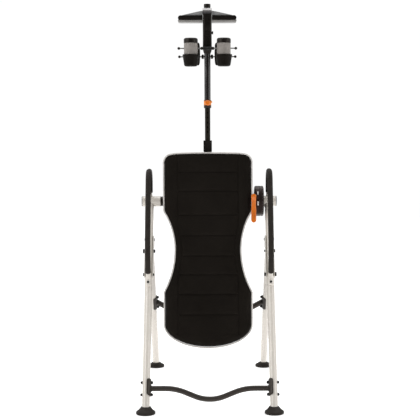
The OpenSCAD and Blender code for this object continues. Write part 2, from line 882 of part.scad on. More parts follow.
module heel_bar() {
  color(steel)
  translate([bed_x, 0, heel_z]) {
    bar_x(-bar_half, bar_half, bar_r);
    for (s = sides) {
      translate([s > 0 ? 18 : -31, 0, 0]) bar_x(0, 13, 11.5);
      translate([s * bar_half, 0, 0]) sphere(r = 6);
    }
  }
}

// Black heel supports on the heel bar, hollowed to the shape of an ankle
module heel_cups() {
  color(near_black)
  for (s = sides) {
    difference() {
      intersection() {
        translate([bed_x + s * heel_x - 40, -22, 1696]) cube([80, 40, 118]);
        translate([bed_x + s * heel_x, -58, 1690]) cylinder(h = 200, r = 72);
      }
      translate([bed_x + s * heel_x, -67, 1690]) cylinder(h = 200, r = 57);
      translate([0, 0, heel_z]) bar_x(-200, 200, bar_r + fit);
    }
  }
}

// ---------- ankle clamp ----------

// A flat bar that runs through the lock case and carries the instep bar
module instep_slide() {
  color(steel)
  difference() {
    union() {
      translate([bed_x - slide_w / 2, instep_y, instep_z - slide_h / 2]) cube([slide_w, 144, slide_h]);
      translate([0, instep_y, instep_z]) bar_x(bed_x - 22, bed_x + 22, 8);
    }
    translate([0, instep_y, instep_z]) bar_x(-200, 200, bar_r + fit);
  }
}

module instep_bar() {
  color(steel)
  translate([bed_x, instep_y, instep_z]) {
    bar_x(-bar_half, bar_half, bar_r);
    for (s = sides) {
      translate([s > 0 ? 22 + fit : -35, 0, 0]) bar_x(0, 13 - fit, 8);
      translate([s * bar_half, 0, 0]) sphere(r = 6);
    }
  }
}

// Tapered cups under the rollers
module instep_cups() {
  color(near_black)
  for (s = sides) {
    translate([bed_x + s * cup_x, instep_y, 0]) {
      translate([0, 0, cup_z]) rotate_extrude()
        polygon([[0, 0], [30, 0], [34, 5], [42, 56], [42, 60], [roller_r + gap, 60], [roller_r + gap, 54], [0, 54]]);
    }
  }
}

module instep_caps() {
  color(near_black)
  for (s = sides) {
    translate([bed_x + s * cup_x, instep_y, roller_z[1] + 0.2]) rotate_extrude()
      polygon([[0, 0], [roller_r, 0], [roller_r, 19], [roller_r - 5, 24.5], [0, 25.5]]);
  }
}

module instep_rollers() {
  color(silver_foam)
  for (s = sides) {
    difference() {
      translate([bed_x + s * cup_x, instep_y, roller_z[0]]) cylinder(h = roller_z[1] - roller_z[0], r = roller_r);
      translate([0, instep_y, instep_z]) bar_x(-200, 200, bar_r + fit);
    }
  }
}

left_front_leg();
right_front_leg();
left_front_foot();
right_front_foot();
front_crossbar();
front_crossbar_bolts();
left_hub();
right_hub();
hub_caps();
hub_bearings();
left_hinge_bracket();
right_hinge_bracket();
fold_hinge_bolts();
bracket_bolts();
left_hand_rail();
right_hand_rail();
left_grip();
right_grip();
hand_rail_screws();
brake_drum();
brake_disc();
left_rear_leg();
right_rear_leg();
left_rear_foot();
right_rear_foot();
rear_crossbar();
rear_crossbar_bolts();
pivot_axle();
axle_nuts();
pivot_tube();
left_pivot_collar();
bed_spine();
spine_sleeve();
index_tube();
backboard();
cushion();
board_straps();
board_screws();
brake_housing();
brake_caliper();
brake_pads();
brake_lever_pin();
brake_lever();
boom_tube();
boom_end_cap();
height_collar();
height_knob();
height_spring();
ankle_housing();
housing_band();
lock_button();
footplate();
footplate_gusset();
heel_bar();
heel_cups();
instep_slide();
instep_bar();
instep_cups();
instep_caps();
instep_rollers();
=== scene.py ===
"""Looks for a folding inversion table: materials, moulded and padded pieces, lights and camera."""

import json
import math
import random

import bmesh
import bpy
from mathutils import Matrix, Vector, noise


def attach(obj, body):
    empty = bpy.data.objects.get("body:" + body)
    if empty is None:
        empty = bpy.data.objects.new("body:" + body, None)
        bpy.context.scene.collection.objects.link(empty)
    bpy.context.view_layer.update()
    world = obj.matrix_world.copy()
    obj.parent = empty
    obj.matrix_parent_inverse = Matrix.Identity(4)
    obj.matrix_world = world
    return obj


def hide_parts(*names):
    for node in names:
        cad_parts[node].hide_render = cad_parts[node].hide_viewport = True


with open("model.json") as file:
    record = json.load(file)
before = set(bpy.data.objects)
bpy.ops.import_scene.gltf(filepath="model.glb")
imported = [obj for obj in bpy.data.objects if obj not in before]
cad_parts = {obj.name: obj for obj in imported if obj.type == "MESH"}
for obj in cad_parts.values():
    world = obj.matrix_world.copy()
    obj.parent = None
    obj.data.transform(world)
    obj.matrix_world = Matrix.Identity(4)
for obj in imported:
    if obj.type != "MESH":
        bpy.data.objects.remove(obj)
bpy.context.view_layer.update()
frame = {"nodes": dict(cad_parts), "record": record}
cad = frame["nodes"]

# ---------- shared sizes, in millimetres, as in the CAD part ----------

PIVOT_Z = 991.0
SIDE_X = 309.0
FOOT_Y = 570.0
FRONT_LEAN = math.atan2(FOOT_Y, PIVOT_Z)
FOLD_Z = 795.0
FOLD_Y = -(PIVOT_Z - FOLD_Z) * math.tan(FRONT_LEAN) + 47.0
REAR_LEAN = math.atan2(FOOT_Y - FOLD_Y, FOLD_Z)
BED_X = -7.0
HALF_W = 230.0
HALF_WAIST = 172.0
WAIST_Z = 744.0
BED_TOP = 1246.0
BED_BOTTOM = 227.0
ROUND_Z = 350.0
INSTEP_Z = 1776.0
REAR_BAR_S = 474.0
PIN_Z = 1502.0
TOP_CORNER = 46.0
LEVER_X = 229.5
LEG_R = 19.0
SIDES = (("left", -1), ("right", 1))


def mm(x, y, z):
    return Vector((x, y, z)) / 1000.0


# ---------- materials ----------


class Paint:
    """A procedural material in object space, so that it stays on its piece in every pose."""

    def __init__(self, name, rough=0.5, **constants):
        self.mat = bpy.data.materials.new(name)
        self.mat.use_nodes = True
        self.tree = self.mat.node_tree
        self.shader = self.tree.nodes["Principled BSDF"]
        self.shader.inputs["Roughness"].default_value = rough
        for key, value in constants.items():
            self.shader.inputs[key.replace("_", " ")].default_value = value
        self.coords = self.node("ShaderNodeTexCoord").outputs["Object"]
        self.height = None

    def node(self, kind, **settings):
        made = self.tree.nodes.new(kind)
        for key, value in settings.items():
            setattr(made, key, value)
        return made

    def link(self, a, b):
        self.tree.links.new(a, b)

    def scaled(self, scale):
        mapping = self.node("ShaderNodeMapping")
        mapping.inputs["Scale"].default_value = scale
        self.link(self.coords, mapping.inputs["Vector"])
        return mapping.outputs["Vector"]

    def noise(self, scale, detail=4.0, stretch=None):
        tex = self.node("ShaderNodeTexNoise")
        tex.inputs["Scale"].default_value = scale
        tex.inputs["Detail"].default_value = detail
        tex.inputs["Roughness"].default_value = 0.5
        self.link(self.scaled(stretch) if stretch else self.coords, tex.inputs["Vector"])
        return tex.outputs["Fac"]

    def cells(self, scale):
        tex = self.node("ShaderNodeTexVoronoi")
        tex.inputs["Scale"].default_value = scale
        self.link(self.coords, tex.inputs["Vector"])
        return tex.outputs["Distance"]

    def stripes(self, scale, axis):
        tex = self.node("ShaderNodeTexWave", wave_type="BANDS", bands_direction=axis, wave_profile="SIN")
        tex.inputs["Scale"].default_value = scale
        tex.inputs["Distortion"].default_value = 0.0
        tex.inputs["Phase Offset"].default_value = 0.0
        self.link(self.coords, tex.inputs["Vector"])
        return tex.outputs["Fac"]

    def place(self, axis):
        split = self.node("ShaderNodeSeparateXYZ")
        self.link(self.coords, split.inputs["Vector"])
        return split.outputs[axis]

    def math(self, kind, a, b=None):
        made = self.node("ShaderNodeMath", operation=kind)
        for i, value in enumerate((a, b)):
            if value is None:
                continue
            if isinstance(value, (int, float)):
                made.inputs[i].default_value = value
            else:
                self.link(value, made.inputs[i])
        return made.outputs[0]

    def ramp(self, fac, stops):
        made = self.node("ShaderNodeValToRGB")
        points = made.color_ramp.elements
        while len(points) < len(stops):
            points.new(0.5)
        for point, (where, colour) in zip(points, stops):
            point.position = where
            point.color = (*colour, 1.0)
        self.link(fac, made.inputs["Fac"])
        return made.outputs["Color"]

    def spread(self, fac, low, high, out_low=0.0, out_high=1.0):
        made = self.node("ShaderNodeMapRange")
        for i, value in enumerate((low, high, out_low, out_high)):
            made.inputs[i + 1].default_value = value
        self.link(fac, made.inputs["Value"])
        return made.outputs["Result"]

    def mix(self, fac, a, b):
        made = self.node("ShaderNodeMix", data_type="RGBA")
        if isinstance(fac, (int, float)):
            made.inputs["Factor"].default_value = fac
        else:
            self.link(fac, made.inputs["Factor"])
        for socket, value in ((made.inputs[6], a), (made.inputs[7], b)):
            if isinstance(value, tuple):
                socket.default_value = (*value, 1.0)
            else:
                self.link(value, socket)
        return made.outputs[2]

    def colour(self, value):
        if isinstance(value, tuple):
            self.shader.inputs["Base Color"].default_value = (*value, 1.0)
        else:
            self.link(value, self.shader.inputs["Base Color"])
        return self

    def rough(self, value):
        self.link(value, self.shader.inputs["Roughness"])
        return self

    def bump(self, height, depth, strength=1.0):
        made = self.node("ShaderNodeBump")
        made.inputs["Distance"].default_value = depth
        made.inputs["Strength"].default_value = strength
        self.link(height, made.inputs["Height"])
        if self.height is not None:
            self.link(self.height, made.inputs["Normal"])
        self.height = made.outputs["Normal"]
        self.tree.links.new(self.height, self.shader.inputs["Normal"])
        return self


def mottled(p, base, spread=0.12, scale=9.0):
    """A base colour that drifts a little lighter and darker."""
    low = tuple(c * (1 - spread) for c in base)
    high = tuple(min(1.0, c * (1 + spread)) for c in base)
    return p.ramp(p.noise(scale, 5.0), [(0.32, low), (0.68, high)])


def powder_coat(name, base, rough, spread=0.05, dust=None, peel=0.00007, **constants):
    p = Paint(name, rough, **constants)
    tone = mottled(p, base, spread)
    if dust:
        low = p.spread(p.place("Z"), 0.02, 0.24, 0.55, 0.0)
        patch = p.math("MULTIPLY", low, p.noise(26.0, 6.0))
        tone = p.mix(patch, tone, dust)
    p.colour(tone)
    p.rough(p.spread(p.noise(55.0, 5.0), 0.3, 0.7, rough * 0.8, rough * 1.25))
    p.bump(p.noise(620.0, 2.0), peel, 0.6)
    return p.mat


def moulded(name, base, rough, grain=0.00005, grain_scale=900.0, **constants):
    p = Paint(name, rough, **constants)
    p.colour(mottled(p, base, 0.10, 14.0))
    p.rough(p.spread(p.noise(40.0, 6.0), 0.3, 0.7, rough * 0.82, rough * 1.2))
    p.bump(p.cells(grain_scale), grain, 0.5)
    p.bump(p.noise(18.0, 3.0), 0.0002, 0.25)
    return p.mat


def metal(name, base, rough, stretch, **constants):
    p = Paint(name, rough, Metallic=1.0, **constants)
    fine = p.noise(1.0, 4.0, stretch)
    p.colour(p.ramp(fine, [(0.3, tuple(c * 0.8 for c in base)), (0.7, base)]))
    p.rough(p.spread(p.noise(30.0, 5.0), 0.3, 0.7, rough * 0.75, rough * 1.3))
    p.bump(fine, 0.00003, 0.4)
    return p.mat


def foam_skin(name, base):
    warm = (1.0, 0.87, 0.72, 1.0)
    p = Paint(name, 0.8, Sheen_Weight=0.03, Sheen_Roughness=0.5, Specular_IOR_Level=0.25, Specular_Tint=warm)
    p.colour(mottled(p, base, 0.22, 40.0))
    p.bump(p.cells(620.0), 0.00022, 0.55)
    p.bump(p.noise(150.0, 5.0), 0.0003, 0.3)
    p.rough(p.spread(p.noise(200.0, 3.0), 0.3, 0.7, 0.68, 0.92))
    return p.mat


def woven(name, base, thread=1500.0, sheen=0.25, shine=0.2):
    """A plain weave that follows the front of a pad, with a slight worn variation."""
    warm = (1.0, 0.86, 0.68, 1.0)
    p = Paint(name, 0.72, Sheen_Weight=sheen, Sheen_Roughness=0.4, Specular_IOR_Level=shine, Specular_Tint=warm)
    across = p.stripes(thread / 6.2832, "X")
    along = p.stripes(thread / 6.2832, "Z")
    over = p.math("MULTIPLY", across, along)
    under = p.math("MULTIPLY", p.math("SUBTRACT", 1.0, across), p.math("SUBTRACT", 1.0, along))
    weave = p.math("ADD", over, under)
    tone = mottled(p, base, 0.25, 6.0)
    dark = p.mix(0.45, tone, (0.0, 0.0, 0.0))
    p.colour(p.mix(weave, dark, tone))
    p.bump(weave, 0.00025, 0.6)
    p.bump(p.noise(60.0, 6.0), 0.0005, 0.3)
    p.rough(p.spread(p.noise(12.0, 4.0), 0.35, 0.65, 0.62, 0.82))
    return p.mat


def ribbed_foam(name, base):
    """A foam sleeve with fine rings, with painted shade darkening the grooves between their crests."""
    p = Paint(name, 0.55, Sheen_Weight=0.2, Sheen_Roughness=0.35)
    ring = p.stripes(62.0, "Z")
    tone = mottled(p, base, 0.10, 30.0)
    # Painted shade: the colour is darkened in the grooves between the rings.
    p.colour(p.mix(p.spread(ring, 0.0, 1.0, 0.45, 0.0), tone, tuple(c * 0.35 for c in base)))
    p.bump(ring, 0.0011, 0.7)
    p.bump(p.cells(700.0), 0.00012, 0.4)
    return p.mat


def cover_with_painted_reflection(name):
    """A plated cover with a painted reflection of the light from above: its colour runs from bright at its top
    to dark at its foot.
    """
    p = Paint(name, 0.26, Metallic=0.35, Coat_Weight=0.1, Coat_Roughness=0.2)
    # Painted reflection: this mask rises from the cover's foot to its top and lightens the colour there.
    painted_reflection_rise = p.spread(p.place("Z"), 1.956, 1.990)
    grain = p.math("MULTIPLY", p.noise(90.0, 5.0), 0.10)
    fac = p.math("ADD", painted_reflection_rise, p.math("SUBTRACT", grain, 0.05))
    p.colour(p.ramp(fac, [(0.05, (0.03, 0.028, 0.03)), (0.5, (0.15, 0.14, 0.14)), (0.8, (0.34, 0.33, 0.33))]))
    p.rough(p.spread(p.noise(70.0, 5.0), 0.3, 0.7, 0.16, 0.3))
    return p.mat


def piping_cloth(name, base):
    p = Paint(name, 0.6, Sheen_Weight=0.3, Sheen_Roughness=0.4)
    twist = p.math("ADD", p.math("MULTIPLY", p.place("X"), 900.0), p.math("MULTIPLY", p.place("Z"), 900.0))
    ridge = p.math("SINE", twist)
    tone = mottled(p, base, 0.18, 25.0)
    # Painted shade: the colour is darkened in the grooves of the twisted cord.
    p.colour(p.mix(p.spread(ridge, -1.0, 1.0, 0.3, 0.0), tone, tuple(c * 0.4 for c in base)))
    p.bump(ridge, 0.0004, 0.5)
    return p.mat


def shaded_collar(name, bright, dark):
    """Orange plastic with painted shade in a deeper brown at the collar's rounded rims, and a black skirt
    below.
    """
    skirt = (0.012, 0.008, 0.006)
    p = Paint(name, 0.36, Coat_Weight=0.05, Coat_Roughness=0.2, Specular_IOR_Level=0.2)
    drift = p.math("MULTIPLY", p.math("SUBTRACT", p.noise(120.0, 4.0), 0.5), 0.004)
    high = p.spread(p.math("ADD", p.place("Z"), drift), 1.476, 1.518)
    # The dark stops paint shade on the top and bottom rims; the bright band between them is the lit orange.
    p.colour(p.ramp(high, [(0.26, skirt), (0.34, dark), (0.46, bright), (0.80, bright), (0.95, dark)]))
    p.rough(p.spread(p.noise(60.0, 5.0), 0.3, 0.7, 0.28, 0.42))
    p.bump(p.cells(700.0), 0.00004, 0.5)
    return p.mat


def shaded_case(name, base, pale):
    """Charcoal plastic with a paler ribbed grip band across the top and the foot of the drum."""
    p = Paint(name, 0.42, Specular_IOR_Level=0.22, Specular_Tint=(1.0, 0.78, 0.72, 1.0))
    reach = p.math("ABSOLUTE", p.math("SUBTRACT", p.place("Z"), PIVOT_Z / 1000.0))
    band = p.math("MULTIPLY", p.spread(reach, 0.0645, 0.0665), p.spread(reach, 0.0745, 0.0725))
    ribs = p.spread(p.stripes(105.0, "X"), 0.1, 0.8, 0.35, 1.0)
    p.colour(p.mix(p.math("MULTIPLY", band, ribs), mottled(p, base, 0.10, 14.0), pale))
    p.rough(p.spread(p.noise(40.0, 6.0), 0.3, 0.7, 0.34, 0.5))
    p.bump(p.cells(700.0), 0.00008, 0.5)
    return p.mat


def textured_board(name, base):
    p = Paint(name, 0.6)
    p.colour(mottled(p, base, 0.3, 20.0))
    p.bump(p.noise(420.0, 6.0), 0.0003, 0.6)
    return p.mat


WARM_TINT = (1.0, 0.88, 0.76, 1.0)

MATS = {
    "white_paint": powder_coat(
        "white_paint", (0.64, 0.595, 0.535), 0.24, 0.03, dust=(0.55, 0.52, 0.47),
        Coat_Weight=0.6, Coat_Roughness=0.12,
    ),
    "rubber": moulded(
        "rubber", (0.016, 0.0142, 0.0132), 0.72, 0.0001, 500.0, Specular_IOR_Level=0.3, Specular_Tint=WARM_TINT
    ),
    "dark_paint": powder_coat(
        "dark_paint", (0.018, 0.0155, 0.0148), 0.42, 0.1, dust=(0.06, 0.052, 0.045),
        Specular_IOR_Level=0.35, Specular_Tint=WARM_TINT,
    ),
    "black_bolts": powder_coat("black_bolts", (0.007, 0.0066, 0.0064), 0.45, 0.15, Specular_IOR_Level=0.2),
    "bracket_paint": powder_coat("bracket_paint", (0.56, 0.53, 0.48), 0.36, 0.05),
    "steel": metal("steel", (0.60, 0.60, 0.61), 0.32, (40.0, 900.0, 900.0)),
    "grey_plastic": moulded("grey_plastic", (0.27, 0.27, 0.27), 0.42),
    "nylon": moulded("nylon", (0.70, 0.69, 0.65), 0.35),
    "foam_grip": foam_skin("foam_grip", (0.016, 0.0140, 0.0130)),
    "charcoal_plastic": shaded_case("charcoal_plastic", (0.0105, 0.0068, 0.0062), (0.105, 0.092, 0.088)),
    "pad_lining": moulded("pad_lining", (0.12, 0.09, 0.07), 0.8, 0.0002, 400.0),
    "black_plastic": moulded(
        "black_plastic", (0.0048, 0.0040, 0.0036), 0.38,
        Coat_Weight=0.05, Coat_Roughness=0.22, Specular_IOR_Level=0.22, Specular_Tint=WARM_TINT,
    ),
    "black_gloss": powder_coat(
        "black_gloss", (0.0095, 0.0072, 0.0065), 0.24, 0.12,
        Coat_Weight=0.7, Coat_Roughness=0.06, Specular_IOR_Level=0.3,
    ),
    "board": textured_board("board", (0.028, 0.026, 0.025)),
    "cushion_fabric": woven("cushion_fabric", (0.0062, 0.0050, 0.0044), sheen=0.0, shine=0.12),
    "orange_plastic": moulded(
        "orange_plastic", (0.66, 0.150, 0.004), 0.30, 0.00004, 700.0, Coat_Weight=0.3, Coat_Roughness=0.1
    ),
    "bright_band": cover_with_painted_reflection("bright_band"),
    "silver_foam": ribbed_foam("silver_foam", (0.30, 0.272, 0.248)),
}
PIPING = piping_cloth("piping", (0.60, 0.57, 0.54))
THREAD = piping_cloth("thread", (0.10, 0.095, 0.09))
# The second colour is the painted shade for the collar's rims.
COLLAR = shaded_collar("collar_orange", (0.78, 0.24, 0.022), (0.16, 0.045, 0.010))
DIAL = moulded("dial_print", (0.88, 0.88, 0.87), 0.45)
PLATE_EDGE = moulded("plate_edge", (0.24, 0.23, 0.22), 0.4)
CUP_BLACK = moulded("cup_black", (0.0045, 0.0036, 0.0030), 0.5, Specular_IOR_Level=0.1, Specular_Tint=WARM_TINT)
INDEX_BLACK = powder_coat(
    "index_black", (0.0070, 0.0058, 0.0040), 0.42, 0.15, Specular_IOR_Level=0.16, Specular_Tint=WARM_TINT
)
WIRE_GREY = metal("bar_steel", (0.20, 0.195, 0.19), 0.42, (40.0, 900.0, 900.0))

slot_of = {part["node"]: part["material_slot"] for part in frame["record"]["subparts"]}
for name, obj in cad.items():
    wanted = MATS[slot_of[name]]
    if not obj.material_slots:
        obj.data.materials.append(wanted)
    for held in obj.material_slots:
        held.material = INDEX_BLACK if name == "index_tube" else wanted


# ---------- mesh tools ----------


def piece(name, bm, mat, body, node=(), sharp=38.0):
    """Turns mesh data into a smooth object that rides on a body."""
    bmesh.ops.recalc_face_normals(bm, faces=bm.faces)
    mesh = bpy.data.meshes.new(name)
    bm.to_mesh(mesh)
    bm.free()
    mesh.shade_smooth()
    if sharp:
        mesh.set_sharp_from_angle(angle=math.radians(sharp))
    obj = bpy.data.objects.new(name, mesh)
    bpy.context.scene.collection.objects.link(obj)
    mesh.materials.append(mat)
    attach(obj, body)
    if node:
        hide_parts(*node)
    return obj


def skin(bm, rows):
    """Faces between rows of vertices that each run round a closed loop, with both ends capped."""
    for a, b in zip(rows, rows[1:]):
        for j in range(len(a)):
            k = (j + 1) % len(a)
            bm.faces.new((a[j], a[k], b[k], b[j]))
    bm.faces.new(rows[0])
    bm.faces.new(rows[-1])


def fillet(points, radii, step=5.0):
    """A polyline with its corners rounded to the given radii."""
    out = [points[0]]
    for i in range(1, len(points) - 1):
        p, r = points[i], radii[i] / 1000.0
        a = (points[i - 1] - p).normalized()
        b = (points[i + 1] - p).normalized()
        theta = a.angle(b)
        if r <= 0 or theta > math.pi - 1e-4:
            out.append(p)
            continue
        back = r / math.tan(theta / 2)
        centre = p + (a + b).normalized() * (r / math.sin(theta / 2))
        start, end = p + a * back - centre, p + b * back - centre
        turn = start.angle(end)
        axis = start.cross(end).normalized()
        n = max(3, int(math.degrees(turn) / step))
        for k in range(n + 1):
            out.append(centre + Matrix.Rotation(turn * k / n, 3, axis) @ start)
    out.append(points[-1])
    return out


def sweep(bm, points, radius, sides=28, closed=False, round_ends=0.0, wobble=None):
    """A round tube along a path. round_ends is the length over which an open end closes in."""
    n = len(points)
    tangents = []
    for i in range(n):
        a = points[(i - 1) % n] if closed else points[max(i - 1, 0)]
        b = points[(i + 1) % n] if closed else points[min(i + 1, n - 1)]
        tangents.append((b - a).normalized())
    normal = tangents[0].orthogonal().normalized()
    rows = []
    stations = [(points[i], tangents[i], 1.0) for i in range(n)]
    if round_ends and not closed:
        head, tail = [], []
        for k in (1.0, 0.92, 0.75, 0.5, 0.25):
            shrink = math.sqrt(max(0.0, 1 - k * k))
            head.append((points[0] - tangents[0] * round_ends * k, tangents[0], max(shrink, 0.02)))
            tail.insert(0, (points[-1] + tangents[-1] * round_ends * k, tangents[-1], max(shrink, 0.02)))
        stations = head + stations + tail
    previous = stations[0][1]
    for index, (p, t, k) in enumerate(stations):
        turn = previous.rotation_difference(t)
        normal = (turn @ normal).normalized()
        normal = (normal - t * normal.dot(t)).normalized()
        side = t.cross(normal)
        previous = t
        r = radius * k * (wobble(index, p) if wobble else 1.0)
        angles = [2 * math.pi * j / sides for j in range(sides)]
        rows.append([bm.verts.new(p + normal * (r * math.cos(a)) + side * (r * math.sin(a))) for a in angles])
    count = len(rows)
    for i in range(count if closed else count - 1):
        a, b = rows[i], rows[(i + 1) % count]
        shift = 0
        if closed and i == count - 1:
            shift = min(range(sides), key=lambda s: (a[0].co - b[s].co).length)
        for j in range(sides):
            k = (j + 1) % sides
            bm.faces.new((a[j], a[k], b[(k + shift) % sides], b[(j + shift) % sides]))
    if not closed:
        bm.faces.new(rows[0])
        bm.faces.new(rows[-1])


AXES = {
    "z": (Vector((1, 0, 0)), Vector((0, 1, 0)), Vector((0, 0, 1))),
    "x": (Vector((0, 1, 0)), Vector((0, 0, 1)), Vector((1, 0, 0))),
    "-x": (Vector((0, 0, 1)), Vector((0, 1, 0)), Vector((-1, 0, 0))),
    "-y": (Vector((1, 0, 0)), Vector((0, 0, 1)), Vector((0, -1, 0))),
}


def lathe(bm, centre, axis, profile, sides=64, ripple=None):
    """A turned shape from (radius, height) pairs in mm. ripple(angle, radius, height) scales the radius."""
    u, v, w = AXES[axis]
    rows = []
    for r, h in profile:
        row = []
        for j in range(sides):
            a = 2 * math.pi * j / sides
            k = ripple(a, r, h) if ripple else 1.0
            at = (u * math.cos(a) + v * math.sin(a)) * (r * k) + w * h
            row.append(bm.verts.new(centre + at / 1000.0))
        rows.append(row)
    for a, b in zip(rows, rows[1:]):
        for j in range(sides):
            k = (j + 1) % sides
            bm.faces.new((a[j], a[k], b[k], b[j]))
    for row, (r, _h) in ((rows[0], profile[0]), (rows[-1], profile[-1])):
        if r > 0.01:
            bm.faces.new(row)
        else:
            bmesh.ops.pointmerge(bm, verts=row, merge_co=row[0].co)


def ribs(count, depth, low, high, radius=0.0):
    """A ripple for lathe: shallow upright ribs between two heights, outside a radius."""

    def scale(a, r, h):
        if low < h < high and r > radius:
            return 1 - depth * (0.5 + 0.5 * math.cos(count * a))
        return 1.0

    return scale


def soft_profile(points, radius=1.5, steps=4):
    """Rounds the corners of a lathe profile."""
    out = []
    for i, (r, h) in enumerate(points):
        if i in (0, len(points) - 1):
            out.append((r, h))
            continue
        p = Vector((r, h))
        a, b = Vector(points[i - 1]) - p, Vector(points[i + 1]) - p
        reach = min(radius, a.length * 0.45, b.length * 0.45)
        if reach < 1e-3:
            out.append((r, h))
            continue
        start, end = p + a.normalized() * reach, p + b.normalized() * reach
        for k in range(steps + 1):
            t = k / steps
            q = start * (1 - t) ** 2 + p * 2 * t * (1 - t) + end * t * t
            out.append((q.x, q.y))
    return out


def block(bm, low, high, bevel=2.0, segments=3):
    """A box in millimetres with rounded edges."""
    made = bmesh.ops.create_cube(bm, size=1.0)["verts"]
    size = Vector(high) - Vector(low)
    centre = (Vector(high) + Vector(low)) / 2
    for vert in made:
        vert.co = Vector((vert.co.x * size.x, vert.co.y * size.y, vert.co.z * size.z)) / 1000.0
    edges = list({e for v in made for e in v.link_edges})
    if bevel:
        made_bevel = bmesh.ops.bevel(
            bm, geom=edges, offset=bevel / 1000.0, segments=segments,
            profile=0.5, affect="EDGES", clamp_overlap=True,
        )
        made = list({v for v in made_bevel["verts"]} | {v for v in made if v.is_valid})
    for vert in made:
        vert.co += centre / 1000.0
    return made


def prism(bm, outline, low, high, axis="y", bevel=1.5, segments=3):
    """A flat outline, in millimetres, given thickness along X or Y and rounded rims."""

    def at(p, h):
        return mm(p[0], h, p[1]) if axis == "y" else mm(h, p[0], p[1])

    a = [bm.verts.new(at(p, low)) for p in outline]
    b = [bm.verts.new(at(p, high)) for p in outline]
    n = len(outline)
    faces = [bm.faces.new(a), bm.faces.new(b)]
    for i in range(n):
        faces.append(bm.faces.new((a[i], a[(i + 1) % n], b[(i + 1) % n], b[i])))
    if bevel:
        rims = [e for f in faces[:2] for e in f.edges]
        bmesh.ops.bevel(
            bm, geom=rims, offset=bevel / 1000.0, segments=segments,
            profile=0.5, affect="EDGES", clamp_overlap=True,
        )


# ---------- backrest cushion ----------


def half_width(z):
    """Half of the backrest's width at a height."""
    if z < ROUND_Z:
        k = (ROUND_Z - z) / (ROUND_Z - BED_BOTTOM)
        return HALF_W * math.sqrt(max(0.0, 1 - k * k))
    radius = 455.0 if z < WAIST_Z else 372.0
    run = min(abs(z - WAIST_Z), radius)
    return min(HALF_W, HALF_WAIST + radius - math.sqrt(radius * radius - run * run))


def bed_outline(inset=0.0, step=14.0):
    """The backrest's outline as even points, counter-clockwise, moved inwards by an inset."""
    right = []
    for i in range(25):
        a = math.radians(90.0 * i / 24)
        right.append(Vector((HALF_W * math.sin(a), ROUND_Z - (ROUND_Z - BED_BOTTOM) * math.cos(a))))
    z = ROUND_Z + step
    while z < BED_TOP - TOP_CORNER - 10:
        right.append(Vector((half_width(z), z)))
        z += step
    for i in range(9):
        a = math.radians(90.0 * i / 8)
        x = HALF_W - TOP_CORNER + TOP_CORNER * math.cos(a)
        right.append(Vector((x, BED_TOP - 6 - TOP_CORNER + TOP_CORNER * math.sin(a))))
    for i in range(1, 9):
        x = (HALF_W - TOP_CORNER) * (1 - i / 8)
        right.append(Vector((x, BED_TOP - 6 * (x / HALF_W) ** 2)))
    loop = right + [Vector((-p.x, p.y)) for p in reversed(right[1:-1])]
    if inset:
        n = len(loop)
        moved = []
        for i in range(n):
            t = (loop[(i + 1) % n] - loop[i - 1]).normalized()
            moved.append(loop[i] + Vector((-t.y, t.x)) * inset)
        loop = moved
    return [(BED_X + p.x, p.y) for p in loop]


CREASE_REACH = 26.0
CHANNELS_Z = (404.0, 510.0, 614.0, 712.0, 818.0, 924.0, 1048.0, 1146.0)
SEAM_X = 158.0
SEAM_DEPTH = 0.0042
SEAM_REACH = 4.2


def seam_half(z):
    """Distance of each long seam from the middle: it stays inside the waist."""
    return min(SEAM_X, half_width(z) - 34.0)


def near_channel(x, z):
    """Distance to the closest sewn line on the pad's front."""
    dx = abs(x - BED_X)
    seam = seam_half(z)
    best = abs(dx - seam) if 300 < z < 1232 else 99.0
    if dx < seam + 4:
        best = min(best, min(abs(z - c) for c in CHANNELS_Z))
    return best


def edge_distance(x, z):
    dx = half_width(z) - abs(x - BED_X)
    slope = 0.82 if z < ROUND_Z + 60 else 0.93
    return min(dx * slope, BED_TOP - z, (z - BED_BOTTOM) if z < ROUND_Z else 999.0)


BACK_Y = -30.3
FRONT_Y = -66.0
CLOTH_FRAMES = 20
MOST_SWELL = 0.012


def simulate_pad(obj):
    """Inflates the pad as cloth, held along its sewn lines and against the board."""
    mesh = obj.data
    group = obj.vertex_groups.new(name="sewn")
    for v in mesh.vertices:
        x, y, z = v.co * 1000.0
        weight = 0.0
        if y > BACK_Y - 4:
            weight = 1.0
        elif y < FRONT_Y + 14:
            d = near_channel(x, z)
            if d < 7.0:
                weight = 0.9
        if weight:
            group.add([v.index], weight, "REPLACE")
    rest = [v.co.copy() for v in mesh.vertices]
    cloth = obj.modifiers.new("cloth", "CLOTH")
    s = cloth.settings
    s.quality = 5
    s.mass = 0.3
    s.tension_stiffness = 12
    s.compression_stiffness = 12
    s.shear_stiffness = 6
    s.bending_stiffness = 0.4
    s.use_pressure = True
    s.uniform_pressure_force = 4.0
    s.vertex_group_mass = "sewn"
    s.effector_weights.gravity = 0.0
    cloth.point_cache.frame_start = 1
    cloth.point_cache.frame_end = CLOTH_FRAMES
    scene = bpy.context.scene
    for f in range(1, CLOTH_FRAMES + 1):
        scene.frame_set(f)
    shaped = obj.evaluated_get(bpy.context.evaluated_depsgraph_get())
    result = [v.co.copy() for v in shaped.to_mesh().vertices]
    shaped.to_mesh_clear()
    obj.modifiers.remove(cloth)
    scene.frame_set(1)
    for v, a, b in zip(mesh.vertices, rest, result):
        move = b - a
        if move.length > MOST_SWELL:
            move = move.normalized() * MOST_SWELL
        v.co = a + move


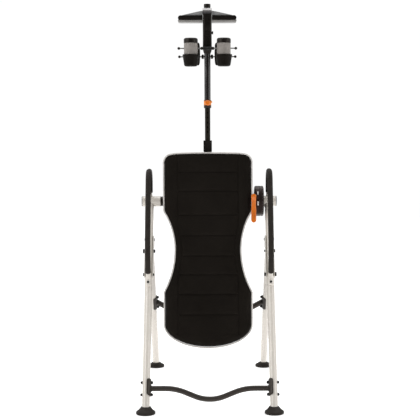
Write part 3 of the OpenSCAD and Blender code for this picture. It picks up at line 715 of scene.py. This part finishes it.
def cushion_pad():
    bm = bmesh.new()
    outline = bed_outline(inset=5.0)
    prism(bm, outline, FRONT_Y, BACK_Y, "y", bevel=0)
    mesh = bpy.data.meshes.new("backrest_pad")
    bm.to_mesh(mesh)
    bm.free()
    obj = bpy.data.objects.new("backrest_pad", mesh)
    bpy.context.scene.collection.objects.link(obj)
    remesh = obj.modifiers.new("remesh", "REMESH")
    remesh.mode = "VOXEL"
    remesh.voxel_size = 0.006
    shaped = obj.evaluated_get(bpy.context.evaluated_depsgraph_get())
    dense = bpy.data.meshes.new_from_object(shaped)
    obj.modifiers.remove(remesh)
    obj.data = dense
    for v in dense.vertices:
        x, y, z = v.co * 1000.0
        inside = max(0.0, min(1.0, edge_distance(x, z) / 75.0))
        crown = 9.0 * (1 - (1 - inside) ** 2.2)
        if y < FRONT_Y + 8:
            v.co.y -= crown / 1000.0
        elif y < BACK_Y - 6:
            pull = 3.0 * math.sin(math.pi * (BACK_Y - y) / (BACK_Y - FRONT_Y))
            v.co.x -= math.copysign(pull * (1 - inside), x - BED_X) / 1000.0
    simulate_pad(obj)
    sub = obj.modifiers.new("sub", "SUBSURF")
    sub.levels = 1
    sub.render_levels = 1
    shaped = obj.evaluated_get(bpy.context.evaluated_depsgraph_get())
    fine = bpy.data.meshes.new_from_object(shaped)
    obj.modifiers.remove(sub)
    obj.data = fine
    for v in fine.vertices:
        x, y, z = v.co * 1000.0
        if y < FRONT_Y + 10 and edge_distance(x, z) > 14:
            d = near_channel(x, z)
            v.co.y += SEAM_DEPTH * math.exp(-((d / SEAM_REACH) ** 2))
            crease = noise.noise(Vector((x * 0.012, z * 0.03, 3.0)))
            v.co.y += 0.0009 * crease * math.exp(-((d / CREASE_REACH) ** 2))
        if v.co.y > BACK_Y / 1000.0:
            v.co.y = BACK_Y / 1000.0
    fine.shade_smooth()
    fine.materials.clear()
    fine.materials.append(MATS["cushion_fabric"])
    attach(obj, "bed")
    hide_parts("cushion")


cushion_pad()


def piping():
    bm = bmesh.new()
    loop = [mm(x, FRONT_Y - 0.5, z) for x, z in bed_outline(inset=1.5)]
    sweep(bm, loop, 0.0036, sides=12, closed=True)
    piece("pad_piping", bm, PIPING, "bed")
    bm = bmesh.new()
    loop = [mm(x, BACK_Y - 3.0, z) for x, z in bed_outline(inset=2.5)]
    sweep(bm, loop, 0.0026, sides=10, closed=True)
    piece("pad_rear_welt", bm, THREAD, "bed")


piping()


# ---------- hand rails ----------


def side_path(side, points):
    return [mm(side * SIDE_X, y, z) for y, z in points]


RAIL = ((-269.5, 583), (-253.5, 611), (-288, 715), (-288, 812), (-160, 1150), (0, 1150), (0, PIVOT_Z + 25))
RAIL_BENDS = (0, 34, 150, 120, 70, 72, 0)
GRIP = ((-265.8, 648), (-288, 715), (-288, 812), (-160, 1150), (0, 1150), (0, PIVOT_Z + 49))
GRIP_BENDS = (0, 150, 120, 70, 72, 0)

for label, side in SIDES:
    bm = bmesh.new()
    path = fillet(side_path(side, RAIL), RAIL_BENDS)
    sweep(bm, path, 0.011, sides=32, round_ends=0.0015)
    piece(label + "_rail_tube", bm, MATS["white_paint"], "front_frame", (label + "_hand_rail",))
    bm = bmesh.new()
    path = fillet(side_path(side, GRIP), GRIP_BENDS, 3.0)
    sweep(bm, path, 0.014, sides=36, round_ends=0.007)
    grip = (label + "_grip",)
    foam = piece(label + "_rail_foam", bm, MATS["foam_grip"], "front_frame", grip, sharp=0)


# ---------- crossbars ----------


def plane_turn(lean):
    return Matrix.Rotation(lean, 3, "X")


def saddle(bm, side, height, thick, place):
    """A pressed plate that wraps the inner half of a leg, with rounded ends and a rolled rim."""
    inner, outer = LEG_R + 0.4, LEG_R + 0.3 + thick
    rows, levels, columns = [], 30, 26
    rise = outer - thick
    for i in range(levels + 1):
        t = 2 * i / levels - 1
        z = height / 2 * t
        reach = math.sqrt(max(0.0, 1 - max(0.0, (abs(t) - 0.72) / 0.28) ** 2.4))
        span = math.radians(8 + 74 * reach)
        shell = thick * (0.55 + 0.45 * reach)
        row = []
        for j in range(columns + 1):
            a = span * (2 * j / columns - 1)
            row.append((-side * (rise + shell) * math.cos(a), (rise + shell) * math.sin(a), z))
        for j in range(columns, -1, -1):
            a = span * (2 * j / columns - 1)
            row.append((-side * inner * math.cos(a), inner * math.sin(a), z))
        rows.append([bm.verts.new(place(Vector(p) / 1000.0)) for p in row])
    skin(bm, rows)


def bead(bm, centre, across, up, radius, offset, seed):
    """A rippled weld fillet where a bar meets its saddle."""
    rng = random.Random(seed)
    points = []
    for i in range(60):
        a = 2 * math.pi * i / 60
        r = radius * (1 + 0.02 * rng.uniform(-1, 1))
        sink = LEG_R + 5.0 - math.sqrt(max(0.0, (LEG_R + 5.0) ** 2 - (r * math.cos(a)) ** 2))
        ring = across * (r * math.cos(a) / 1000.0) + up * (r * math.sin(a) / 1000.0)
        points.append(centre + ring + offset * (sink / 1000.0))
    sweep(bm, points, 0.0019, sides=8, closed=True, wobble=lambda i, p: 1 + 0.2 * math.sin(i * 2.3))


def front_bar():
    y = -FOOT_Y + 110 * math.tan(FRONT_LEAN)
    end = SIDE_X - 22.0
    bm = bmesh.new()
    path = [mm(x, y, z) for x, z in ((-end, 110), (-166, 110), (0, 41), (166, 110), (end, 110))]
    sweep(bm, fillet(path, (0, 250, 190, 250, 0), 4.0), 0.0130, sides=36)
    turn = plane_turn(-FRONT_LEAN)
    across, up = turn @ Vector((0, 1, 0)), turn @ Vector((0, 0, 1))
    middle = 114.0
    for _label, side in SIDES:
        at = mm(side * SIDE_X, -FOOT_Y + middle * math.tan(FRONT_LEAN), middle)
        saddle(bm, side, 88.0, 5.0, lambda v, at=at: turn @ v + at)
        foot = mm(side * (SIDE_X - LEG_R - 6.0), y, 110)
        bead(bm, foot, across, up, 13.4, Vector((side, 0, 0)), 11 + side)
    piece("front_bar", bm, MATS["dark_paint"], "front_frame", ("front_crossbar",))


def rear_bar():
    turn = plane_turn(REAR_LEAN)
    hinge = mm(0, FOLD_Y, FOLD_Z)
    end, high, low, flat = SIDE_X - 22.0, REAR_BAR_S - 1.5, 608.0, 114.0
    bm = bmesh.new()
    path = [mm(x, 0, -s) for x, s in ((-end, high), (-flat, low), (flat, low), (end, high))]
    sweep(bm, fillet(path, (0, 110, 110, 0), 4.0), 0.0145, sides=36)
    for _label, side in SIDES:
        saddle(bm, side, 94.0, 4.0, lambda v, side=side: v + mm(side * SIDE_X, 0, -471))
        foot = mm(side * (SIDE_X - LEG_R - 5.4), 0, 1.5 - high)
        bead(bm, foot, Vector((0, 1, 0)), Vector((0, 0, 1)), 16.0, Vector((side, 0, 0)), 21 + side)
    for v in bm.verts:
        v.co = turn @ v.co + hinge
    piece("rear_bar", bm, MATS["dark_paint"], "rear_frame", ("rear_crossbar",))


front_bar()
rear_bar()


def nut_caps():
    """Domed black caps over the ends of the bolts that cross the legs."""
    rises = [math.radians(a) for a in range(0, 90, 15)]
    turn = plane_turn(REAR_LEAN)
    hinge = mm(0, FOLD_Y, FOLD_Z)
    frames = (("front_frame", (136.0, 83.0), 24.0, 29.3), ("rear_frame", (434.0, 509.0), 25.0, 29.3))
    for body, stations, outside, inside in frames:
        bm = bmesh.new()
        for _label, side in SIDES:
            for along in stations:
                if body == "front_frame":
                    at = mm(side * SIDE_X, -FOOT_Y + along * math.tan(FRONT_LEAN), along)
                else:
                    at = hinge + turn @ mm(side * SIDE_X, 0, -along)
                for way, reach in ((1, outside), (-1, inside)):
                    dome = [(0, reach - 4), (7.2, reach - 4), (7.2, reach - 0.4)]
                    dome += [(6.9 * math.cos(a), reach - 0.2 + 4.6 * math.sin(a)) for a in rises]
                    lathe(bm, at, "x" if way * side > 0 else "-x", dome + [(0, reach + 4.4)], 28)
        piece(body + "_nut_caps", bm, MATS["black_bolts"], body)


nut_caps()


# ---------- rubber boots ----------


def boot(name, x, y, lean, body, node):
    """A low moulded foot whose collar leans over with the leg: (height, radius, share of the lean)."""
    shift = -math.tan(lean)
    stretch = 1 / math.cos(lean)
    stations = [
        (0.0, 41.5, 0.0), (0.8, 44.0, 0.0), (3.0, 46.3, 0.0), (8.0, 46.5, 0.0), (12.0, 46.2, 0.0),
        (14.4, 44.6, 0.0), (15.6, 42.2, 0.03), (17.2, 39.2, 0.12), (20.4, 35.0, 0.32), (24.6, 30.4, 0.58),
        (28.4, 26.6, 0.80), (31.2, 24.0, 0.94), (33.0, 22.0, 1.0), (33.6, 20.6, 1.0), (33.2, 19.3, 1.0),
    ]
    bm = bmesh.new()
    rows = []
    for z, r, follow in stations:
        row = []
        for j in range(72):
            a = 2 * math.pi * j / 72
            deep = r * (1 + (stretch - 1) * follow)
            row.append(bm.verts.new(mm(x + r * math.cos(a), y + z * shift * follow + deep * math.sin(a), z)))
        rows.append(row)
    skin(bm, rows)
    return piece(name, bm, MATS["rubber"], body, (node,))


for label, side in SIDES:
    boot(label + "_front_boot", side * SIDE_X, -FOOT_Y, -FRONT_LEAN, "front_frame", label + "_front_foot")
    boot(label + "_rear_boot", side * SIDE_X, FOOT_Y, REAR_LEAN, "rear_frame", label + "_rear_foot")


# ---------- brake case and lever ----------


def brake_case():
    centre = mm(0, 0, PIVOT_Z)
    bm = bmesh.new()
    profile = [
        (10.1, 223.6), (20, 223.6), (22, 225.5), (22, 233), (60, 233.6), (74, 236), (79, 241), (79, 261.5),
        (76, 261.5), (76, 238), (10.1, 237),
    ]
    lathe(bm, centre, "x", soft_profile(profile, 1.6, 3), 96)
    block(bm, (246, -97, PIVOT_Z + 17), (257.5, -76, PIVOT_Z + 37), 2.5)
    piece("brake_case_inner", bm, MATS["charcoal_plastic"], "bed", ("brake_housing",))

    bm = bmesh.new()
    profile = [
        (11, 253), (22, 253), (22, 281), (75.8, 281), (75.8, 262.3), (79, 262.3), (79, 267), (77.8, 268.2),
        (77.8, 270.2), (79, 271.4), (79, 278), (76, 282), (68, 284), (40, 284.2), (38, 283), (11, 283),
    ]
    lathe(bm, centre, "x", soft_profile(profile, 1.0, 3), 96)
    piece("brake_case_outer", bm, MATS["charcoal_plastic"], "front_frame", ("brake_drum",))

    bm = bmesh.new()
    for middle in (33.0, -6.0):
        for k in range(5):
            angle = math.radians(middle + (k - 2) * 3.1)
            long = 8.6 if k != 2 else 6.0
            tick = block(bm, (-long / 2, -0.3, -1.35), (long / 2, 0.3, 1.35), 0)
            spin = Matrix.Rotation(-angle, 3, "X")
            for v in tick:
                v.co = spin @ (v.co + mm(252.5, -79.1, 0)) + centre
    piece("dial_ticks", bm, DIAL, "bed")

    bm = bmesh.new()
    for k in range(30):
        angle = math.radians(k * 12)
        stud = block(bm, (-0.9, -0.35, -0.9), (0.9, 0.35, 0.9), 0.3, 2)
        spin = Matrix.Rotation(angle, 3, "X")
        for v in stud:
            v.co = spin @ (v.co + mm(276.5, -79.1, 0)) + centre
    piece("case_studs", bm, MATS["grey_plastic"], "front_frame")


def lever():
    pin_y, pin_z = -89.0, PIVOT_Z + 28.0
    mid = LEVER_X
    top, foot = pin_z + 15.0, pin_z - 135.0
    rows = []
    bm = bmesh.new()
    steps = 34
    for i in range(steps + 1):
        t = i / steps
        z = top + (foot - top) * t
        half = 13.0
        end = min((top - z) / 13.0, (z - foot) / 13.0, 1.0)
        if end < 1.0:
            half = 13.0 * math.sqrt(max(0.02, 1 - (1 - end) ** 2))
        waist = 1.0 - 0.12 * math.exp(-(((z - (pin_z - 40)) / 26.0) ** 2))
        half *= waist
        hub, thumb = math.exp(-(((z - pin_z) / 12.0) ** 2)), math.exp(-(((z - foot - 22) / 20.0) ** 2))
        thick = 4.6 + 3.6 * hub + 0.8 * thumb
        y = pin_y - 1.5 - 3.0 * max(0.0, (pin_z - 60 - z) / 75.0) ** 2 * 1.2
        row = []
        for j in range(24):
            a = 2 * math.pi * j / 24
            c, s = math.cos(a), math.sin(a)
            px = half * math.copysign(abs(c) ** 0.55, c)
            py = thick * math.copysign(abs(s) ** 0.75, s)
            row.append(bm.verts.new(mm(mid + px, y + py, z)))
        rows.append(row)
    skin(bm, rows)
    for k in range(5):
        z = foot + 20 + 7 * k
        block(bm, (mid - 8, pin_y - 9.6, z), (mid + 8, pin_y - 5.6, z + 2.6), 1.0, 2)
    eye = soft_profile([(4.1, -13), (8.4, -13), (9, -12), (9, 12), (8.4, 13), (4.1, 13)], 1.0, 3)
    lathe(bm, mm(mid, pin_y, pin_z), "x", eye, 40)
    orange = "orange_plastic"
    piece("brake_paddle", bm, MATS[orange], "brake_lever", ("brake_lever",), sharp=50)


brake_case()
lever()


# ---------- boom, collar and knob ----------


def collar_and_knob():
    bm = bmesh.new()
    profile = [
        (16.6, 1478), (14.2, 1476.5), (18, 1476.2), (19.2, 1478), (19.2, 1515.5), (18, 1518), (16.6, 1518),
    ]
    lathe(bm, mm(BED_X, 0, 0), "z", profile, 48)
    boss = soft_profile([(8.2, 15), (11, 15), (11, 36.5), (9.6, 38), (4.2, 38)], 1.0, 3)
    lathe(bm, mm(BED_X, 0, PIN_Z), "-y", boss, 40)
    nose = [(8, PIN_Z + 3), (20, PIN_Z), (25, PIN_Z + 5), (18, PIN_Z + 15), (8, PIN_Z + 15.5)]
    prism(bm, [(BED_X + x, z) for x, z in nose], -10, 6, "y", 1.6)
    piece("collar_shell", bm, COLLAR, "boom", ("height_collar",), sharp=42)

    bm = bmesh.new()
    knob = [
        (0, 14.4), (3.4, 14.4), (4, 15.4), (4, 38.8), (8.6, 38.8), (9, 41), (9, 43.6), (12.6, 44), (13.8, 46),
        (13.8, 52.5), (11, 56.4), (6, 57), (0, 56.2),
    ]

    def flutes(a, r, h):
        return 1.0 - (0.045 * (0.5 + 0.5 * math.cos(a * 14)) if r > 12.2 else 0.0)

    lathe(bm, mm(BED_X, 0, PIN_Z), "-y", soft_profile(knob, 1.0, 3), 112, ripple=flutes)
    lathe(bm, mm(BED_X, 0, PIN_Z), "-y", [(4, 19.2), (7.6, 19.2), (7.6, 21.2), (4, 21.2)], 32)
    piece("pull_knob", bm, MATS["orange_plastic"], "height_knob", ("height_knob",), sharp=48)


collar_and_knob()


def ankle_case():
    """The lock case: a rounded shell with side grooves, closing in at its lower end."""
    bm = bmesh.new()
    rows = []
    stations = [
        (1757, 0.66, -18, 17), (1759, 0.74, -20, 18), (1766, 0.86, -26, 18.6), (1774, 0.96, -40, 19.4),
        (1781, 1.0, -50.5, 20), (1786, 1.0, -52, 20), (1800, 0.997, -52, 20), (1830, 0.99, -52, 20),
        (1862, 0.985, -52, 20), (1895, 0.99, -52, 20),
        (1925, 0.996, -52, 20), (1955.5, 1.0, -52, 20), (1958, 0.98, -50.5, 18.5),
    ]
    for z, k, y0, y1 in stations:
        half = 23.5 * k
        row = []
        n = 48
        for j in range(n):
            a = 2 * math.pi * j / n
            c, s = math.cos(a), math.sin(a)
            px = half * math.copysign(abs(c) ** 0.32, c)
            py = (y1 - y0) / 2 * math.copysign(abs(s) ** 0.32, s) + (y0 + y1) / 2
            row.append(bm.verts.new(mm(BED_X + px, py, z)))
        rows.append(row)
    skin(bm, rows)
    for z in range(1796, 1852, 8):
        block(bm, (BED_X - 14, -53.2, z), (BED_X + 14, -51, z + 3.4), 0.9, 2)
    block(bm, (BED_X - 16, -53.0, 1874), (BED_X + 16, -50, 1938), 1.4, 3)
    piece("lock_case", bm, MATS["black_plastic"], "boom", ("ankle_housing",), sharp=44)

    bm = bmesh.new()
    n = 16
    outline = [(-52, 1958.3)]
    for i in range(n + 1):
        a = math.radians(90.0 * i / n)
        outline.append((-6 - 46 * math.cos(a) ** 0.8, 1958.3 + 34 * math.sin(a) ** 0.8))
    outline += [(2, 1992.3), (8, 1991), (8, 1958.3)]
    clean = []
    for p in outline:
        if not clean or (Vector(p) - Vector(clean[-1])).length > 0.6:
            clean.append(p)
    prism(bm, clean, BED_X - 24, BED_X + 24, "x", 2.2, 4)
    piece("case_top_cover", bm, MATS["bright_band"], "boom", ("housing_band",), sharp=50)

    bm = bmesh.new()
    cap = [(16, 1995), (17.2, 1997.2), (17.6, 1999), (17.6, 2010), (16.2, 2013), (12, 2013.8), (0, 2013.9)]
    lathe(bm, mm(BED_X, 0, 0), "z", [(0, 1993)] + cap, 56, ripple=ribs(20, 0.02, 1998, 2011))
    piece("boom_plug", bm, MATS["black_plastic"], "boom", ("boom_end_cap",), sharp=48)


ankle_case()


def tread():
    """The footplate: a dark ribbed upper shell over a grey rounded lower rail, on both sides of the case."""
    half, low = 152.0, 1917.0
    for label, side in SIDES:
        bm = bmesh.new()
        outline = [(24.2, low + 10)]
        outline += [(half - 12, low + 10)]
        for i in range(9):
            a = math.radians(-90 + 180 * i / 8)
            outline.append((half - 13 + 12 * math.cos(a), low + 22 + 12 * math.sin(a)))
        outline += [(half - 12, low + 34), (24.2, low + 34)]
        clean = []
        for x, z in outline:
            p = (BED_X + side * x, z)
            if not clean or (Vector(p) - Vector(clean[-1])).length > 0.4:
                clean.append(p)
        prism(bm, clean, -46, 34, "y", 3.0, 4)
        for k in range(12):
            x = 34 + k * 9.2
            lo = BED_X + (side * x if side > 0 else side * x - 4)
            block(bm, (lo, -38, low + 32.5), (lo + 4, 26, low + 35.4), 0.9, 2)
        black = "black_plastic"
        piece(label + "_tread_shell", bm, MATS[black], "boom", ("footplate",), sharp=44)

        bm = bmesh.new()
        rail = [(24.2, low)]
        for i in range(9):
            a = math.radians(-90 + 180 * i / 8)
            rail.append((half - 9 + 8.2 * math.cos(a), low + 8 + 8 * math.sin(a)))
        rail += [(24.2, low + 16)]
        prism(bm, [(BED_X + side * x, z) for x, z in rail], -45, 33, "y", 2.6, 4)
        piece(label + "_tread_rail", bm, PLATE_EDGE, "boom")

        bm = bmesh.new()
        web = [(24.4, 1951.4), (half - 22, 1951.4), (half - 24, 1953.2)]
        web += [(60, 1968.5), (30, 1974.6), (24.4, 1974.8)]
        prism(bm, [(BED_X + side * x, z) for x, z in web], -38, 26, "y", 1.6, 3)
        piece(label + "_tread_gusset", bm, MATS["grey_plastic"], "boom", ("footplate_gusset",))


tread()


# ---------- ankle holders ----------


def holders():
    cup_x, heel_x, y = 84.0, 75.0, -130.0
    black, clamp = "black_plastic", "ankle_clamp"
    for label, side in SIDES:
        at = mm(BED_X + side * cup_x, y, 0)

        bm = bmesh.new()
        rings, base, top = [], INSTEP_Z - 36.6, INSTEP_Z + 26.9
        rings.append((0, base))
        rings.append((33.5, base))
        for i in range(45):
            z = base + 1.2 + (top - base - 2.4) * i / 44
            rings.append((35.3 - 0.8 * (0.5 - 0.5 * math.cos(2 * math.pi * (z - base) / 6.3)), z))
        rings.append((33.5, top - 0.1))
        rings.append((0, top))
        lathe(bm, at, "z", rings, 72)
        foam = "silver_foam"
        roller = piece(label + "_roller", bm, MATS[foam], clamp, ("instep_rollers",), sharp=0)

        bm = bmesh.new()
        cup = [(0, -91), (27, -91), (31, -89), (34.5, -83), (41.4, -41), (42.2, -36), (42.2, -31), (40, -30.6)]
        cup = soft_profile(cup + [(36.1, -31), (36.1, -36.8), (0, -36.8)], 1.6, 3)
        at_rod = at + mm(0, 0, INSTEP_Z)
        lathe(bm, at_rod, "z", cup, 72, ripple=ribs(24, 0.018, -82, -42))
        piece(label + "_roller_cup", bm, CUP_BLACK, clamp, ("instep_cups",), sharp=44)

        bm = bmesh.new()
        cap = [(0, 27.2), (35.4, 27.2), (36, 29), (36, 43), (34.6, 48.4), (29, 52.2), (16, 52.7), (15, 51.2)]
        cap += [(0, 51)]
        lathe(bm, at_rod, "z", soft_profile(cap, 1.8, 3), 96, ripple=ribs(32, 0.02, 29, 45, 34))
        piece(label + "_roller_cap", bm, MATS[black], clamp, ("instep_caps",), sharp=44)

        bm = bmesh.new()
        rows, columns, levels = [], 22, 24
        for i in range(levels + 1):
            t = i / levels
            z = 1697 + 116 * t
            lip = math.sin(math.pi * min(1.0, min(t, 1 - t) / 0.12) / 2)
            span = 38.0 * (0.90 + 0.10 * lip) - 3.0 * (2 * t - 1) ** 2
            outer, inner = [], []
            for j in range(columns + 1):
                u = 2 * j / columns - 1
                x = span * u
                deep = -67 + math.sqrt(57 ** 2 - x * x)
                back = -58 + math.sqrt(71.5 ** 2 - x * x)
                rim = (1 - abs(u) ** 6) * (0.6 + 0.4 * lip)
                inner.append((x, deep + 0.5 * (1 - rim), z))
                outer.append((x, deep + max(1.5, (back - deep) * rim), z))
            rows.append(inner + list(reversed(outer)))
        verts = [[bm.verts.new(mm(BED_X + side * heel_x + x, yy, z)) for x, yy, z in row] for row in rows]
        skin(bm, verts)
        piece(label + "_heel_cup", bm, CUP_BLACK, "boom", ("heel_cups",), sharp=50)

    rises = [math.radians(a) for a in range(-80, 90, 12)]
    for name, node, body, yy, zz, collar, start in (
        ("instep_rod", "instep_bar", "ankle_clamp", y, INSTEP_Z, 8.0, 22.3),
        ("heel_rod", "heel_bar", "boom", 0.0, 1742.0, 11.5, 18.0),
    ):
        bm = bmesh.new()
        sweep(bm, [mm(BED_X + x, yy, zz) for x in (-144, -60, 60, 144)], 0.00325, sides=24)
        piece(name, bm, WIRE_GREY, body, (node,))
        bm = bmesh.new()
        for _label, side in SIDES:
            ball = [(0, -7.6)] + [(7.3 * math.cos(a), 7.3 * math.sin(a)) for a in rises] + [(0, 7.3)]
            lathe(bm, mm(BED_X + side * 145, yy, zz), "x" if side > 0 else "-x", ball, 36)
            nut = [(3.4, 0), (collar * 0.82, 0), (collar, 2.4), (collar, 9), (collar * 0.74, 12.4), (3.4, 12.4)]
            way = "x" if side > 0 else "-x"
            lathe(bm, mm(BED_X + side * start, yy, zz), way, soft_profile(nut, 1.2, 3), 40)
        piece(name + "_ends", bm, MATS["black_plastic"], body)


holders()


# ---------- small hardware ----------


def weld(name, centre, radius, axis_turn, width, seed):
    """A rippled weld bead round a tube joint."""
    rng = random.Random(seed)
    bm = bmesh.new()
    n = 72
    points = []
    for i in range(n):
        a = 2 * math.pi * i / n
        jitter = 1 + 0.03 * rng.uniform(-1, 1)
        points.append(centre + axis_turn @ (Vector((math.cos(a), math.sin(a), 0)) * (radius * jitter / 1000.0)))
    sweep(bm, points, width / 1000.0, sides=8, closed=True, wobble=lambda i, p: 1 + 0.22 * math.sin(i * 2.4))
    piece(name, bm, MATS["white_paint"], "front_frame", sharp=0)


for label, side in SIDES:
    leg_top = mm(side * SIDE_X, -14.5, PIVOT_Z - 25.5)
    rail_foot = mm(side * SIDE_X, 0, PIVOT_Z + 27.2)
    weld(label + "_leg_weld", leg_top, 20.0, plane_turn(-FRONT_LEAN), 2.2, 3)
    weld(label + "_rail_weld", rail_foot, 11.6, Matrix.Identity(3), 1.8, 5)


# ---------- floor, lights and camera ----------

floor_bm = bmesh.new()
bmesh.ops.create_grid(floor_bm, x_segments=2, y_segments=2, size=12.0)
floor_mesh = bpy.data.meshes.new("studio_floor")
floor_bm.to_mesh(floor_mesh)
floor_bm.free()
floor = bpy.data.objects.new("studio_floor", floor_mesh)
bpy.context.scene.collection.objects.link(floor)
ground = Paint("studio_floor", 0.6)
ground.colour(mottled(ground, (0.93, 0.93, 0.93), 0.01, 2.0))
ground.shader.inputs["Emission Color"].default_value = (1.0, 1.0, 1.0, 1.0)
ground.shader.inputs["Emission Strength"].default_value = 0.45
floor_mesh.materials.append(ground.mat)

bpy.context.scene.view_settings.view_transform = "Standard"
world = bpy.data.worlds.new("studio")
bpy.context.scene.world = world
world.use_nodes = True
sky = world.node_tree.nodes["Background"]
sky.inputs["Color"].default_value = (1.0, 1.0, 1.0, 1.0)


def sky_node(kind, **values):
    made = world.node_tree.nodes.new(kind)
    for key, value in values.items():
        made.inputs[key.replace("_", " ")].default_value = value
    return made


def sky_link(a, b):
    world.node_tree.links.new(a, b)


# The studio is white at the sides and behind, and dim on the camera's side.
around = sky_node("ShaderNodeSeparateXYZ")
sky_link(sky_node("ShaderNodeTexCoord").outputs["Generated"], around.inputs["Vector"])
depth = sky_node("ShaderNodeMapRange", From_Min=-0.95, From_Max=0.15, To_Min=0.07, To_Max=1.0)
sky_link(around.outputs["Y"], depth.inputs["Value"])
shown = sky_node("ShaderNodeMix", B=1.02)
sky_link(sky_node("ShaderNodeLightPath").outputs["Is Camera Ray"], shown.inputs["Factor"])
sky_link(depth.outputs["Result"], shown.inputs["A"])
sky_link(shown.outputs["Result"], sky.inputs["Strength"])


def area_light(name, where, toward, size, power):
    data = bpy.data.lights.new(name, "AREA")
    data.shape = "RECTANGLE"
    data.size, data.size_y = size
    data.energy = power
    lamp = bpy.data.objects.new(name, data)
    bpy.context.scene.collection.objects.link(lamp)
    lamp.location = where
    lamp.rotation_euler = (Vector(toward) - Vector(where)).to_track_quat("-Z", "Y").to_euler()
    return lamp


area_light("key", (-3.2, -2.2, 3.0), (0, 0, 1.0), (1.6, 2.6), 55)
area_light("fill", (3.4, -1.8, 2.0), (0, 0, 0.9), (1.6, 2.6), 30)
area_light("top", (0, 0.4, 4.4), (0, 0, 1.0), (2.6, 2.6), 45)

camera_data = bpy.data.cameras.new("camera")
camera_data.sensor_width = 36.0
camera_data.lens = 99.93
camera = bpy.data.objects.new("camera", camera_data)
bpy.context.scene.collection.objects.link(camera)
camera.location = (0.0, -6.095, 1.3432)
camera.rotation_euler = (math.radians(90.0 - 3.746), math.radians(0.207), math.radians(-0.05))
bpy.context.scene.camera = camera
